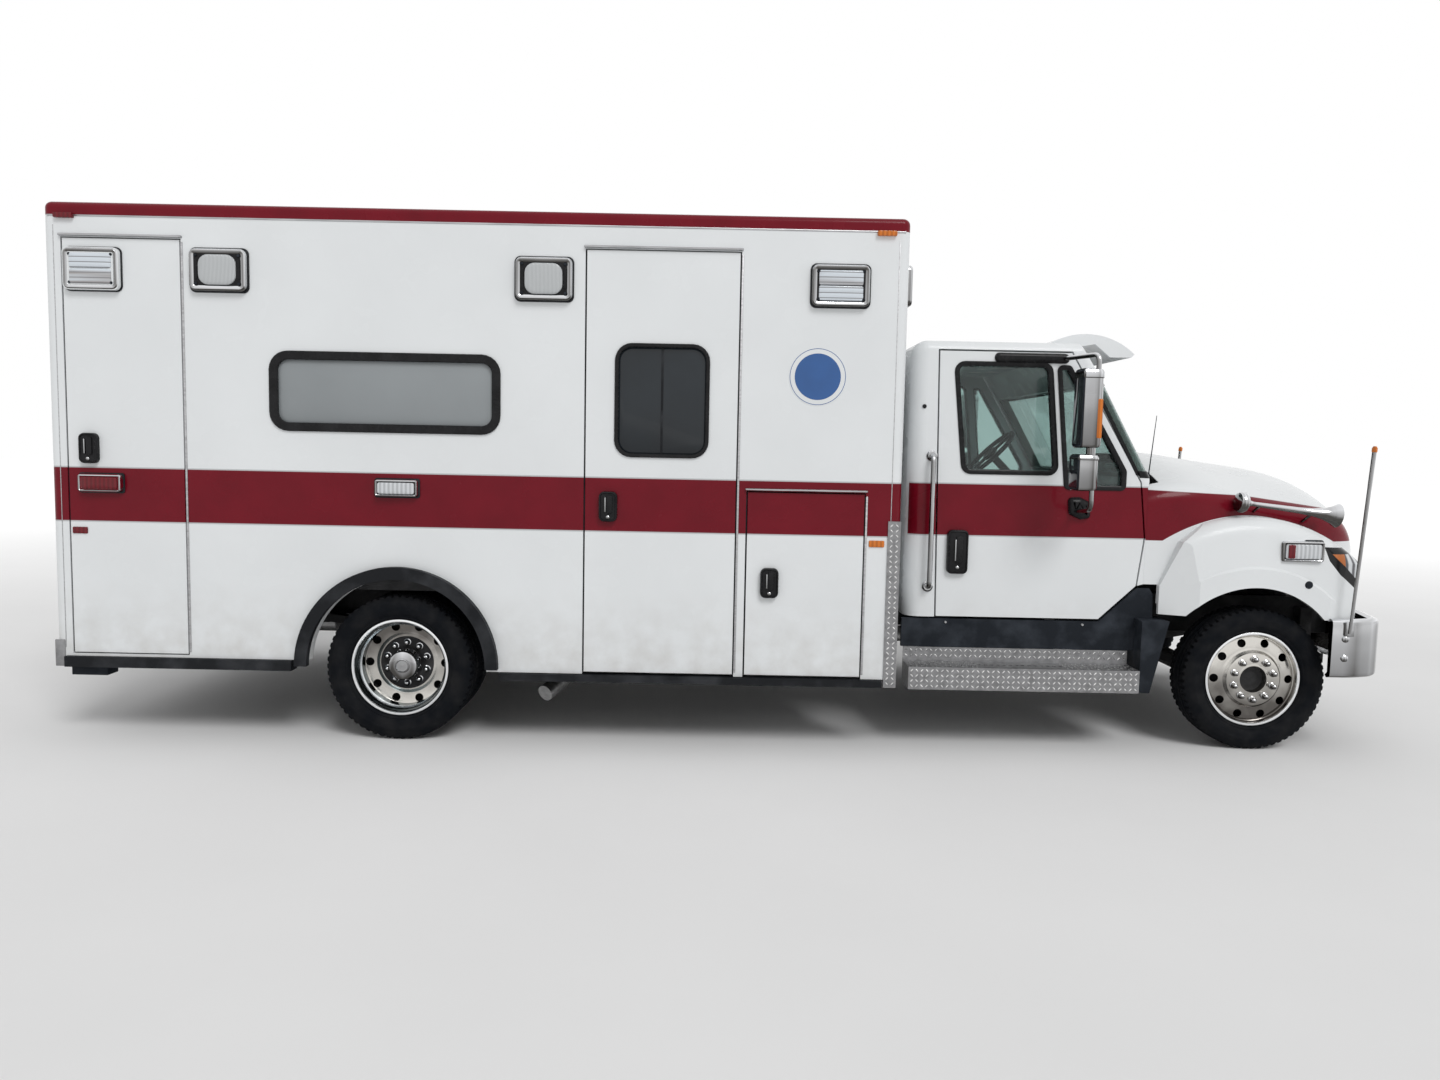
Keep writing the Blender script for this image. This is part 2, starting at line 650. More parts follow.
def turned(profile, centre, axis, segments=48, closed=True):
    """Turn a profile of radii and distances about an axis through a centre."""
    axis = Vector(axis).normalized()
    first = axis.orthogonal().normalized()
    second = axis.cross(first)
    points = []
    for radius, along in profile:
        for angle in turns(segments):
            way = first * math.cos(angle) + second * math.sin(angle)
            points.append(Vector(centre) + axis * along + way * radius)
    faces = ring_faces(len(profile), segments)
    if closed:
        faces += caps(len(profile), segments)
    return points, faces


def spun(profile, centre, side, segments):
    """An open profile turned about an axle, outward on its side."""
    return turned(profile, centre, (0, side, 0), segments, closed=False)


def knob(profile, x, y, z, side, segments=12):
    """A turned shape that stands out from one side of the vehicle."""
    return turned(profile, spot(x, side * y, z), (0, side, 0), segments)


def eased(points, radius, steps=6):
    """A path of straight runs with its corners rounded."""
    path = [Vector(points[0])]
    for index in range(1, len(points) - 1):
        here = Vector(points[index])
        before = Vector(points[index - 1]) - here
        after = Vector(points[index + 1]) - here
        reach = min(radius, before.length * 0.45, after.length * 0.45)
        start = here + before.normalized() * reach
        end = here + after.normalized() * reach
        for step in range(steps + 1):
            share = step / steps
            path.append(start.lerp(here, share).lerp(here.lerp(end, share), share))
    path.append(Vector(points[-1]))
    return path


def tube(points, radius, bend=0.05, segments=14):
    """A round bar along a path with rounded corners. The radius is one number or one for each end."""
    path = eased(points, bend)
    start, end = radius if isinstance(radius, tuple) else (radius, radius)
    last = len(path) - 1
    side = (path[1] - path[0]).normalized().orthogonal().normalized()
    points = []
    for index, place in enumerate(path):
        heading = (path[min(index + 1, last)] - path[max(index - 1, 0)]).normalized()
        side = (side - heading * side.dot(heading)).normalized()
        other = heading.cross(side)
        size = start + (end - start) * (index / last)
        for angle in turns(segments):
            points.append(place + (side * math.cos(angle) + other * math.sin(angle)) * size)
    return points, ring_faces(len(path), segments) + caps(len(path), segments)


def grid(rows, closed=False):
    """A surface through rows of points, joined round when closed."""
    width = len(rows[0])
    faces = ring_faces(len(rows), width)
    if not closed:
        faces = [face for number, face in enumerate(faces, 1) if number % width]
    return [point for row in rows for point in row], faces


def beam(low, high, edge=0.003):
    """A block between two corners with softened edges along Z."""
    low, high = Vector(low), Vector(high)
    size = high - low
    loop = rounded_loop(size.x, size.y, min(edge, size.x / 2.1, size.y / 2.1), 2)
    lip = min(edge, size.z / 3)
    points, faces = swept(loop, [(-lip, 0), (0, lip), (0, size.z - lip), (-lip, size.z)])
    middle = (low + high) / 2
    placed = [(x + middle.x, y + middle.y, z + low.z) for x, y, z in points]
    return placed, faces + caps(1, len(loop))[:1]


def mirrored(shape):
    """The mirror image of a shape across the centre plane."""
    points, faces = shape
    return [(x, -y, z) for x, y, z in points], [tuple(reversed(face)) for face in faces]


def for_side(shape, side):
    """A shape drawn for the left, kept or mirrored for a side."""
    return shape if side == LEFT else mirrored(shape)


# Edges that bend by more than this stay sharp, on the pieces and on the nodes
PIECE_SHARP = math.radians(35)
NODE_SHARP = math.radians(28)


def build(name, body, finish, shapes):
    """Join shapes into one object of one finish that rides on a body."""
    points = []
    faces = []
    for shape_points, shape_faces in shapes:
        start = len(points)
        points += [tuple(point) for point in shape_points]
        faces += [tuple(start + index for index in face) for face in shape_faces]
    mesh = bpy.data.meshes.new(name)
    mesh.from_pydata(points, [], faces)
    mesh.validate()
    mesh.shade_smooth()
    mesh.set_sharp_from_angle(angle=PIECE_SHARP)
    material, slot = FINISHES[finish]
    mesh.materials.append(material)
    obj = bpy.data.objects.new(name, mesh)
    bpy.context.scene.collection.objects.link(obj)
    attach(obj, body)
    return obj


def dress(finish, *nodes):
    """Give CAD nodes a finish."""
    for node in nodes:
        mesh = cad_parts[node].data
        mesh.materials.clear()
        mesh.materials.append(FINISHES[finish][0])
        mesh.shade_smooth()
        mesh.set_sharp_from_angle(angle=NODE_SHARP)


GATHERED = {}


def add(name, body, finish, *shapes):
    """Gather shapes that become one piece of one finish on one body."""
    GATHERED.setdefault((name, body, finish), []).extend(shapes)


def fixed(name, finish, *shapes):
    """Gather shapes that become one piece on the chassis."""
    add(name, "chassis", finish, *shapes)


def span(low_u, high_u, low_v, high_v):
    """The middle and the size of a rectangle."""
    return (low_u + high_u) / 2, (low_v + high_v) / 2, high_u - low_u, high_v - low_v


# Carried-over nodes

NODE_FINISHES = {
    "module_paint": (
        "module_side_right", "module_side_left", "module_rear", "module_front", "side_door",
        "locker_door_right_rear", "locker_door_right_front", "locker_door_left_front",
        "locker_door_left_middle", "locker_door_left_rear", "rear_door_left", "rear_door_right",
        "cab_shell", "cab_door_left", "cab_door_right",
    ),
    "roof_paint": ("module_roof",),
    "plain_paint": ("cab_roof",),
    "hood_paint": ("hood",),
    "chrome": ("grab_rails", "bumper", "grille", "air_horns", "door_mirror_left", "door_mirror_right"),
    "rim": ("front_wheel_left", "front_wheel_right", "rear_wheels_left", "rear_wheels_right"),
    "tyre": ("front_tyre_left", "front_tyre_right", "rear_tyres_left", "rear_tyres_right"),
    "tread_plate": ("tread_plates", "lockers"),
    "cast": ("leaf_springs", "front_axle", "rear_axle", "driveline", "knuckle_left", "knuckle_right"),
    "frame": ("frame_rails", "module_floor"),
    "steel": ("fuel_tank", "exhaust"),
    "rubber": ("rubber_trim",),
    "plastic": ("cladding", "cab_floor", "dashboard"),
    "cab_glass": ("windshield", "cab_door_glass_left", "cab_door_glass_right"),
    "dark_glass": ("side_door_glass", "rear_door_glass_left", "rear_door_glass_right"),
    "frosted_glass": ("long_window",),
    "clear_lens": ("module_lamps",),
    "headlamp": ("headlamps",),
    "vinyl": ("bench_cushion",),
    "seat_cloth": ("cab_seats",),
    "laminate": ("interior",),
}
for finish, nodes in NODE_FINISHES.items():
    dress(finish, *nodes)


# Lamps on the module

# Columns: rear X, front X, bottom Z, top Z, kind, body on the right side, body on the left side
SIDE_LAMPS = (
    (-1.694, -1.408, 2.349, 2.564, "warning", "locker_door_right_rear", "locker_door_left_rear"),
    (-1.047, -0.754, 2.355, 2.570, "scene", "chassis", "chassis"),
    (0.627, 0.922, 2.342, 2.561, "scene", "chassis", "chassis"),
    (2.154, 2.454, 2.340, 2.554, "warning", "chassis", "locker_door_left_front"),
    (-1.650, -1.425, 1.309, 1.402, "red", "locker_door_right_rear", "locker_door_left_rear"),
    (-0.103, 0.122, 1.314, 1.404, "clear", "chassis", "chassis"),
)
# Lamps on the rear wall. Columns: inner Y, outer Y, bottom Z, top Z, kind
REAR_LAMPS = (
    (0.740, 1.030, 2.440, 2.655, "warning"),
    (0.800, 1.000, 1.700, 1.850, "scene"),
    (0.790, 1.010, 1.010, 1.110, "red"),
    (0.790, 1.010, 0.880, 0.980, "amber"),
    (0.790, 1.010, 0.750, 0.850, "clear"),
)
# Lamps on the front wall. Columns: centre Y, width
FRONT_LAMPS = ((-0.960, 0.290), (-0.520, 0.230), (0.0, 0.230), (0.520, 0.230), (0.960, 0.290))
FRONT_LAMP_Z = (2.370, 2.585)
LAMP_DEPTH = 0.033
GASKET = 0.013


def crowned(width, height, radius, base, rise, skirt=0.006):
    """A pane whose middle stands proud of its rim."""
    loop = rounded_loop(width, height, radius)
    count = len(loop)
    points = [(u, v, base - skirt) for u, v, _, _ in loop]
    for scale, lift in ((1.0, 0.0), (0.985, 0.35), (0.94, 0.62), (0.80, 0.85), (0.50, 0.97)):
        points += [(u * scale, v * scale, base + rise * lift) for u, v, _, _ in loop]
    top = len(points)
    last = top - count
    points.append((0, 0, base + rise))
    fan = [(last + index, last + (index + 1) % count, top) for index in range(count)]
    return points, ring_faces(6, count) + fan


def lamp_parts(width, height, kind):
    """The gasket, bezel, tray, lens and screws of one lamp, as shapes by finish."""
    big = height > 0.14
    corner = 0.032 if big else 0.014
    rim = 0.026 if big else 0.012
    gasket = rounded_loop(width + GASKET, height + GASKET, corner)
    front = LAMP_DEPTH + 0.004
    bezel = [(0, 0.004), (-0.001, front - 0.012), (-0.004, front - 0.004), (-0.009, front)]
    bezel += [(-rim + 0.008, front - 0.001), (-rim, front - 0.006), (-rim - 0.002, LAMP_DEPTH - 0.008)]
    across, up = width - 2 * rim, height - 2 * rim
    parts = {
        "rubber": [swept(gasket, [(0, 0), (0, 0.006), (-0.004, 0.008)])],
        "chrome": [swept(rounded_loop(width, height, corner), bezel, filled=False)],
        "gloss_black": [pad(across + 0.004, up + 0.004, 0.010, LAMP_DEPTH - 0.003)],
    }
    if kind == "scene":
        parts["frosted_lens"] = [crowned(across * 0.80, up * 0.94, 0.05, LAMP_DEPTH, 0.010)]
        side = pad(across * 0.07, up * 0.62, 0.006, LAMP_DEPTH + 0.001)
        parts["gloss_black"] += [shifted(side, way * across * 0.455, 0) for way in (1, -1)]
    elif kind == "warning":
        half = up * 0.46
        pane = crowned(across * 0.92, half, 0.010, LAMP_DEPTH, 0.008)
        parts["flash_lens"] = [shifted(pane, 0, side * (half / 2 + 0.002)) for side in (1, -1)]
    else:
        parts[f"{kind}_lens"] = [crowned(across * 0.96, up * 0.90, 0.012, LAMP_DEPTH, 0.009)]
    if big:
        profile = [(0.0075, 0), (0.0075, 0.004), (0.005, 0.006)]
        screw = turned(profile, (0, 0, LAMP_DEPTH - 0.002), LEVEL[2], 12)
        reach_u, reach_v = across / 2 - 0.010, up / 2 - 0.010
        parts["plastic"] = [shifted(screw, u * reach_u, v * reach_v) for u in (-1, 1) for v in (-1, 1)]
    return parts


def place_lamp(name, body, u, v, width, height, kind, put):
    """Put one lamp on a wall through the function that places a flat shape there."""
    for finish, shapes in lamp_parts(width, height, kind).items():
        add(f"{name}_{finish}", body, finish, *[put(shifted(shape, u, v)) for shape in shapes])


def module_lamps():
    """Every lamp on the module's four walls."""
    for *edges, kind, right_body, left_body in SIDE_LAMPS:
        for side, body in ((RIGHT, right_body), (LEFT, left_body)):
            place_lamp(f"lamps_{body}", body, *span(*edges), kind, lambda shape: on_side(shape, side))
    for *edges, kind in REAR_LAMPS:
        for side in SIDES:
            place_lamp("lamps_chassis", "chassis", *span(*edges), kind, lambda shape: on_rear(shape, side))
    low_z, high_z = FRONT_LAMP_Z
    for y, width in FRONT_LAMPS:
        size = (width, high_z - low_z)
        place_lamp("lamps_chassis", "chassis", y, (low_z + high_z) / 2, *size, "warning", on_front)


# Small markers and reflectors. Columns: rear X, front X, bottom Z, top Z, finish, height off the wall
MARKERS = (
    (-1.743, -1.644, 2.712, 2.738, "red_lens", 0.022),
    (2.486, 2.586, 2.705, 2.731, "amber_lens", 0.022),
    (-1.700, -1.621, 1.087, 1.122, "red_lens", 0.007),
    (2.492, 2.574, 1.098, 1.133, "amber_lens", 0.007),
)


def markers():
    """Side marker lamps under the roof rail and reflectors below the band."""
    for *edges, finish, depth in MARKERS:
        x, z, width, height = span(*edges)
        shape = shifted(pad(width, height, 0.006, depth, 0.004), x, z)
        for side in SIDES:
            on_door = edges[0] < -1.6 and edges[2] < 2.0
            body = f"locker_door_{WORD[side]}_rear" if on_door else "chassis"
            add(f"markers_{body}_{finish}", body, finish, on_side(shape, side))


# Doors of the module

# Columns: name, side, rear X, front X, bottom Z, top Z, handle X, handle Z
MODULE_DOORS = (
    ("side_door", RIGHT, 0.995, 1.785, 0.403, 2.606, 1.117, 1.285),
    ("locker_door_right_rear", RIGHT, -1.710, -1.107, 0.455, 2.613, -1.595, 1.536),
    ("locker_door_right_front", RIGHT, 1.850, 2.463, 0.403, 1.374, 1.972, 0.898),
    ("locker_door_left_front", LEFT, 1.850, 2.463, 0.403, 2.613, 1.972, 1.285),
    ("locker_door_left_middle", LEFT, 0.790, 1.660, 0.403, 1.374, 0.912, 0.898),
    ("locker_door_left_rear", LEFT, -1.710, -1.107, 0.455, 2.613, -1.595, 1.536),
)
HANDLE_BASE = 0.024
HINGE_WIDTH = 0.011


def paddle_handle(width=0.092, height=0.154):
    """A black flush tray with a bright paddle, as shapes by finish."""
    loop = rounded_loop(width, height, 0.026)
    base = HANDLE_BASE
    rim = [(0.002, 0), (0.002, base), (0, base + 0.005), (-0.006, base + 0.007), (-0.010, base + 0.001)]
    tray = swept(loop, rim)
    paddle = pad(width * 0.34, height * 0.62, 0.010, 0.009, 0.004)
    lock = turned([(0.009, 0), (0.009, 0.006), (0.006, 0.008)], (0, -height * 0.36, base), LEVEL[2], 14)
    return {
        "gloss_black": [tray, shifted(paddle, 0.008, 0.012, base)],
        "chrome": [lock, shifted(pad(0.007, height * 0.5, 0.003, 0.012, 0.002), -0.014, 0.010, base)],
    }


def add_handle(body, put, u, v, *size):
    """Put a handle on a door through the function that places a flat shape there."""
    for finish, shapes in paddle_handle(*size).items():
        add(f"handle_{body}_{finish}", body, finish, *[put(shifted(shape, u, v)) for shape in shapes])


def module_doors():
    """Handles, hinges, seals and drip rails of the doors in the side walls."""
    for name, side, low_x, high_x, low_z, high_z, *handle in MODULE_DOORS:
        add_handle(name, lambda shape: on_side(shape, side), *handle)
        x, z, width, height = span(low_x, high_x, low_z, high_z)
        hinge = pad(HINGE_WIDTH, height - 0.02, 0.003, 0.004, 0.002, 2)
        fixed("door_hinges", "trim", on_side(shifted(hinge, high_x + 0.0125, z), side))
        seal = pad(0.006, height, 0.002, 0.050, 0.001, 1)
        for seal_x in (low_x - 0.006, high_x + 0.004):
            fixed("door_seals", "rubber", on_side(shifted(seal, seal_x, z), side, MODULE_HALF - 0.058))
        drip = swept(rounded_loop(width + 0.030, 0.012, 0.003, 2), [(0, 0), (0, 0.014), (-0.003, 0.018)])
        fixed("drip_rails", "trim", on_side(shifted(drip, x, high_z + 0.016), side))


CORNER_LINE = 0.055


def module_seams():
    """The corner extrusions' and the roof rail's joint lines on the side walls."""
    joint = pad(0.004, 2.20, 0.001, 0.0014, 0.0005, 1)
    rail = pad(MODULE_FRONT - MODULE_REAR - 0.05, 0.008, 0.002, 0.003, 0.001, 1)
    for side in SIDES:
        for x in (MODULE_REAR + CORNER_LINE, MODULE_FRONT - CORNER_LINE):
            fixed("module_seams", "trim", on_side(shifted(joint, x, 1.58), side))
        fixed("module_seams", "trim", on_side(shifted(rail, 0.425, 2.727), side))


# Windows

# Columns: rear X or inner Y, front X or outer Y, bottom Z, top Z, corner radius
LONG_WINDOW = (-0.650, 0.546, 1.650, 2.057, 0.095)
ENTRY_WINDOW = (1.148, 1.634, 1.549, 2.132, 0.085)
REAR_WINDOW = (0.120, 0.520, 1.549, 2.132, 0.085)
# Columns: window, body, width of the frame, finish of the pane, the node that the pane replaces
SIDE_WINDOWS = (
    (LONG_WINDOW, "chassis", 0.041, "frosted_glass", "long_window"),
    (ENTRY_WINDOW, "side_door", 0.016, "dark_glass", "side_door_glass"),
)


def window_frame(window, band):
    """A black frame round a window, with its rim turned in."""
    *edges, radius = window
    u, v, width, height = span(*edges)
    profile = [(0.004, 0), (0.004, 0.008), (0, 0.012), (0.004 - band, 0.012), (-band, 0.008), (-band, -0.028)]
    return shifted(swept(rounded_loop(width, height, radius), profile, filled=False), u, v)


def windows():
    """Window frames of the module and its doors, the panes on the right side, and the rear doors' handles."""
    for window, body, band, finish, node in SIDE_WINDOWS:
        add(f"window_frame_{body}", body, "gloss_black", on_side(window_frame(window, band), RIGHT))
        x, z, width, height = span(*window[:4])
        pane = shifted(pad(width - 0.012, height - 0.012, window[4] - 0.006, 0.004, 0.001), x, z)
        glass = build(f"pane_{body}", body, finish, [on_side(pane, RIGHT, MODULE_HALF - 0.012)])
        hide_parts(node)
    slider = shifted(pad(0.012, 0.55, 0.003, 0.004, 0.001, 1), 1.391, 1.840)
    add("window_frame_side_door", "side_door", "rubber", on_side(slider, RIGHT, MODULE_HALF - 0.009))
    for side in SIDES:
        body = f"rear_door_{WORD[side]}"
        add(f"window_frame_{body}", body, "gloss_black", on_rear(window_frame(REAR_WINDOW, 0.018), side))
        add_handle(body, lambda shape: on_rear(shape, side), 0.076, 1.285)


BADGE_PLACE = (2.199, MODULE_HALF, 1.982)
BADGE_RADIUS = 0.150


def badges():
    """A plain blue disc in a white ring with a thin blue line, on each side of the module."""
    ring = [(BADGE_RADIUS, 0.0), (BADGE_RADIUS, 0.0012), (BADGE_RADIUS - 0.003, 0.0016)]
    disc = [(BADGE_RADIUS * 0.80, 0.0), (BADGE_RADIUS * 0.80, 0.0024)]
    line = [(BADGE_RADIUS - 0.007, 0.0020), (BADGE_RADIUS - 0.004, 0.0020), (BADGE_RADIUS - 0.004, 0.0012)]
    for side in SIDES:
        body = "chassis" if side == RIGHT else "locker_door_left_front"
        x, y, z = BADGE_PLACE
        add(f"badge_ring_{WORD[side]}", body, "plain_paint", knob(ring, *BADGE_PLACE, side, 64))
        outline = spun(line, spot(x, side * y, z), side, 64)
        add(f"badge_disc_{WORD[side]}", body, "badge", knob(disc, *BADGE_PLACE, side, 64), outline)


# Wheels and tyres

HAND_HOLES = 10
HAND_HOLE_RADIUS = 0.023
HAND_HOLE_CIRCLE = 0.206
STUDS = 10
STUD_CIRCLE = 0.1125
NUT = (
    (0.020, 0), (0.020, 0.004), (0.016, 0.006), (0.0152, 0.0216), (0.0128, 0.02952), (0.008, 0.0342),
    (0.001, 0.036),
)
TYRE_RADIUS = 0.392
PITCHES = 62
PITCH_STEPS = 6
RIBS = (0.0, 0.042, 0.078)
GROOVE_HALF = 0.0051
GROOVE_DEPTH = 0.011
SLIT_DEPTH = 0.003
SHOULDER = 0.058
# The tyre's section from bead to shoulder, as radii and distances outward, and the distances across its tread
SIDEWALL = (
    (0.247, 0.066), (0.262, 0.070), (0.266, 0.080), (0.272, 0.093), (0.276, 0.0965), (0.281, 0.0955),
    (0.292, 0.106), (0.310, 0.1125), (0.328, 0.113), (0.332, 0.1142), (0.336, 0.113), (0.348, 0.1105),
    (0.360, 0.1060), (0.372, 0.0990), (0.381, 0.0900),
)
TREAD = (0.086, 0.076, 0.060, 0.0475, 0.0465, 0.0375, 0.0365, 0.0150, 0.0050, 0.0040)


def around(centre, radius, angle, along):
    """A point round an axle."""
    return Vector(centre) + Vector((radius * math.sin(angle), along, radius * math.cos(angle)))


def tread_radius(along, phase):
    """The tread's radius at a distance across it, in one of the steps of a pitch."""
    wide = abs(along)
    crown = TYRE_RADIUS - 0.0035 * (along / 0.09) ** 2
    in_groove = any(abs(wide - rib) <= GROOVE_HALF for rib in RIBS)
    if in_groove or (wide > SHOULDER and phase in (0, 1)):
        return crown - GROOVE_DEPTH
    return crown - (SLIT_DEPTH if phase == 3 and wide < SHOULDER else 0.0)


def tyre(centre):
    """A truck tyre with ribs, shoulder notches, sidewall rings and rounded beads."""
    count = PITCHES * PITCH_STEPS
    half = list(SIDEWALL) + [(None, along) for along in TREAD]
    sections = half + [(radius, -along) for radius, along in reversed(half)]
    width = len(sections)
    points = []
    faces = []
    for step, angle in enumerate(turns(count)):
        for radius, along in sections:
            radius = radius or tread_radius(along, step % PITCH_STEPS)
            points.append(around(centre, radius, angle, along))
        here, after = step * width, (step + 1) % count * width
        for column in range(width - 1):
            faces.append((here + column, after + column, after + column + 1, here + column + 1))
    return points, faces


def holed_band(inner, outer, dish, centre, side):
    """A ring-shaped disc that follows a dish, with its round hand holes and the holes' walls."""
    radii, heights = zip(*reversed(dish))
    sector = 2 * math.pi / HAND_HOLES
    count = 32
    rings = 4
    points = []
    faces = []
    for hole in range(HAND_HOLES):
        middle = sector * (hole + 0.5)
        start = len(points)
        for ring in range(rings + 2):
            share = min(ring / rings, 1.0)
            for turn in turns(count):
                across, up = math.sin(turn), math.cos(turn)
                reach = max(abs(across), abs(up))
                box_angle = middle + across / reach * sector / 2
                box_radius = (inner + outer) / 2 + up / reach * (outer - inner) / 2
                hole_x = HAND_HOLE_RADIUS * across
                hole_y = HAND_HOLE_CIRCLE + HAND_HOLE_RADIUS * up
                radius = box_radius + (math.hypot(hole_x, hole_y) - box_radius) * share
                angle = box_angle + (middle + math.atan2(hole_x, hole_y) - box_angle) * share
                along = float(np.interp(radius, radii, heights)) - (HOLE_DEPTH if ring > rings else 0.0)
                points.append(around(centre, radius, angle, side * along))
        walls = ring_faces(rings + 2, count, start)
        faces += walls if side == LEFT else [tuple(reversed(face)) for face in walls]
    return points, faces


def stud_nuts(centre, side, along):
    """A ring of domed nut covers."""
    places = [around(centre, STUD_CIRCLE, angle, side * along) for angle in turns(STUDS)]
    return [turned(NUT, place, (0, side, 0), 12) for place in places]


# The back of a wheel's rim and its lip, as radii and distances outward, and the depth of its hand holes
BARREL = [(0.205, -0.040), (0.232, -0.060), (0.236, -0.0825), (0.2605, -0.0825), (0.2605, -0.070)]
LIP = [(0.246, 0.060), (0.2605, 0.070), (0.2605, 0.0825), (0.256, 0.0845), (0.249, 0.0835), (0.244, 0.078)]
HOLE_DEPTH = 0.012


def front_wheel(side):
    """Convex polished wheel: lip, dished band with hand holes, raised hub flange, nuts and open hub."""
    body = f"front_wheel_{WORD[side]}"
    centre = spot(WHEELBASE, side * 0.947, AXLE_Z)
    lip = LIP + [(0.242, 0.066), (0.239, 0.056), (0.235, 0.053)]
    dish = [(0.235, 0.053), (0.229, 0.056), (0.206, 0.0605), (0.183, 0.063), (0.172, 0.0635)]
    flange = [(0.172, 0.0635), (0.160, 0.066), (0.152, 0.075), (0.146, 0.083), (0.140, 0.0845)]
    flange.append((0.085, 0.0845))
    hub = [(0.085, 0.0845), (0.078, 0.0865), (0.074, 0.086), (0.071, 0.080), (0.069, 0.045)]
    well = [(0.069, 0.046), (0.040, 0.046), (0.030, 0.052), (0.001, 0.052)]
    back = [(0.150, 0.020), (0.205, -0.020), (0.205, -0.060), (0.080, -0.070)]
    shapes = [spun(profile, centre, side, 96) for profile in (lip, flange, hub)]
    shapes += [holed_band(0.172, 0.235, dish, centre, side), spun(BARREL, centre, side, 96)]
    add(f"{body}_rim", body, "rim", *shapes)
    add(f"{body}_nuts", body, "chrome", *stud_nuts(centre, side, 0.0845))
    add(f"{body}_hub", body, "cast", *[spun(profile, centre, side, 40) for profile in (well, back)])
    add(f"{body}_tread", body, "tyre", tyre(centre))


def rear_wheels(side):
    """Dished dual wheels: bright lip, deep barrel, hand holes, dark nut ring and chrome cap."""
    body = f"rear_wheels_{WORD[side]}"
    centre = spot(0.0, side * 1.083, AXLE_Z)
    inner_centre = spot(0.0, side * 0.821, AXLE_Z)
    barrel = LIP + [(0.240, 0.060), (0.236, 0.034), (0.232, 0.028), (0.224, 0.020)]
    barrel += [(0.221, -0.030), (0.231, -0.056)]
    dish = [(0.234, -0.056), (0.228, -0.060), (0.206, -0.063), (0.180, -0.066), (0.170, -0.0665)]
    flange = [(0.170, -0.0665), (0.160, -0.064), (0.152, -0.060), (0.146, -0.060)]
    ring = [(0.146, -0.060), (0.140, -0.066), (0.088, -0.066), (0.084, -0.050), (0.072, -0.050)]
    behind = [(0.232, -0.075), (0.232, -0.14), (0.140, -0.16)]
    inner_disc = [(0.232, 0.020), (0.214, 0.058), (0.140, 0.066), (0.001, 0.066)]
    cap = [(0.084, -0.060), (0.084, -0.020), (0.080, 0.018), (0.074, 0.030), (0.062, 0.036), (0.040, 0.038)]
    cap += [(0.038, 0.044), (0.034, 0.045), (0.030, 0.040), (0.024, 0.040), (0.001, 0.041)]
    shapes = [spun(profile, centre, side, 96) for profile in (barrel, flange)]
    shapes += [holed_band(0.170, 0.234, dish, centre, side), spun(BARREL, inner_centre, -side, 72)]
    add(f"{body}_rim", body, "rim", *shapes)
    hub = [spun(profile, centre, side, 64) for profile in (ring, behind)]
    add(f"{body}_hub", body, "cast", *hub, spun(inner_disc, inner_centre, -side, 64))
    add(f"{body}_cap", body, "chrome", spun(cap, centre, side, 64), *stud_nuts(centre, side, -0.066))
    add(f"{body}_tread", body, "tyre", tyre(centre), tyre(inner_centre))


# Cab

# Window outlines of the cab door. Columns: X, Z, anticlockwise on the left side
DROP_GLASS = ((3.022, 1.499), (3.533, 1.499), (3.475, 2.087), (2.961, 2.087))
QUARTER_GLASS = ((3.584, 1.424), (3.902, 1.424), (3.902, 1.520), (3.577, 2.075), (3.518, 2.075))
SEAL = [(0.010, 0), (0.010, 0.005), (0.006, 0.008), (-0.010, 0.008), (-0.016, 0.004), (-0.018, -0.026)]
MIRROR_Y = 1.315
# Mirror heads. Columns: rear X, bottom Z, top Z, height of the wider cap
MIRROR_HEADS = ((3.530, 1.640, 2.043, 0.050), (3.522, 1.421, 1.608, 0.030))
# Depth and half the width of a mirror's shell
MIRROR_DEPTH = 0.114
MIRROR_HALF = 0.077
# The arms: their routes, drawn for the left side, and their radii
MIRROR_ARMS = (
    (
        ((3.545, 1.010, 2.118), (3.545, 1.070, 2.118), (3.626, MIRROR_Y, 2.118), (3.626, MIRROR_Y, 2.030)),
        0.013,
    ),
    (((3.640, 1.020, 1.300), (3.620, MIRROR_Y, 1.322), (3.620, MIRROR_Y, 1.440)), 0.013),
    (((3.605, MIRROR_Y, 1.600), (3.605, MIRROR_Y, 1.650)), 0.024),
)
# The outline of the lower arm's foot
MIRROR_FOOT = ((3.598, 1.372), (3.606, 1.280), (3.668, 1.254), (3.722, 1.262), (3.716, 1.350), (3.660, 1.376))


def mirror_plan(steps=26):
    """A mirror shell's outline from above, flat behind and rounded in front, with outward directions."""
    loop = [(0.0, MIRROR_HALF - 0.006, -0.7, 0.7), (0.0, -MIRROR_HALF + 0.006, -0.7, -0.7)]
    loop.append((0.006, -MIRROR_HALF, 0.0, -1.0))
    for step in range(steps + 1):
        angle = math.pi * (step / steps - 0.5)
        across, ahead = math.sin(angle), math.cos(angle)
        v = MIRROR_HALF * math.copysign(abs(across) ** 0.7, across)
        loop.append((MIRROR_DEPTH - 0.062 + 0.062 * ahead ** 0.7, v, ahead, across))
    loop.append((0.006, MIRROR_HALF, 0.0, 1.0))
    return loop


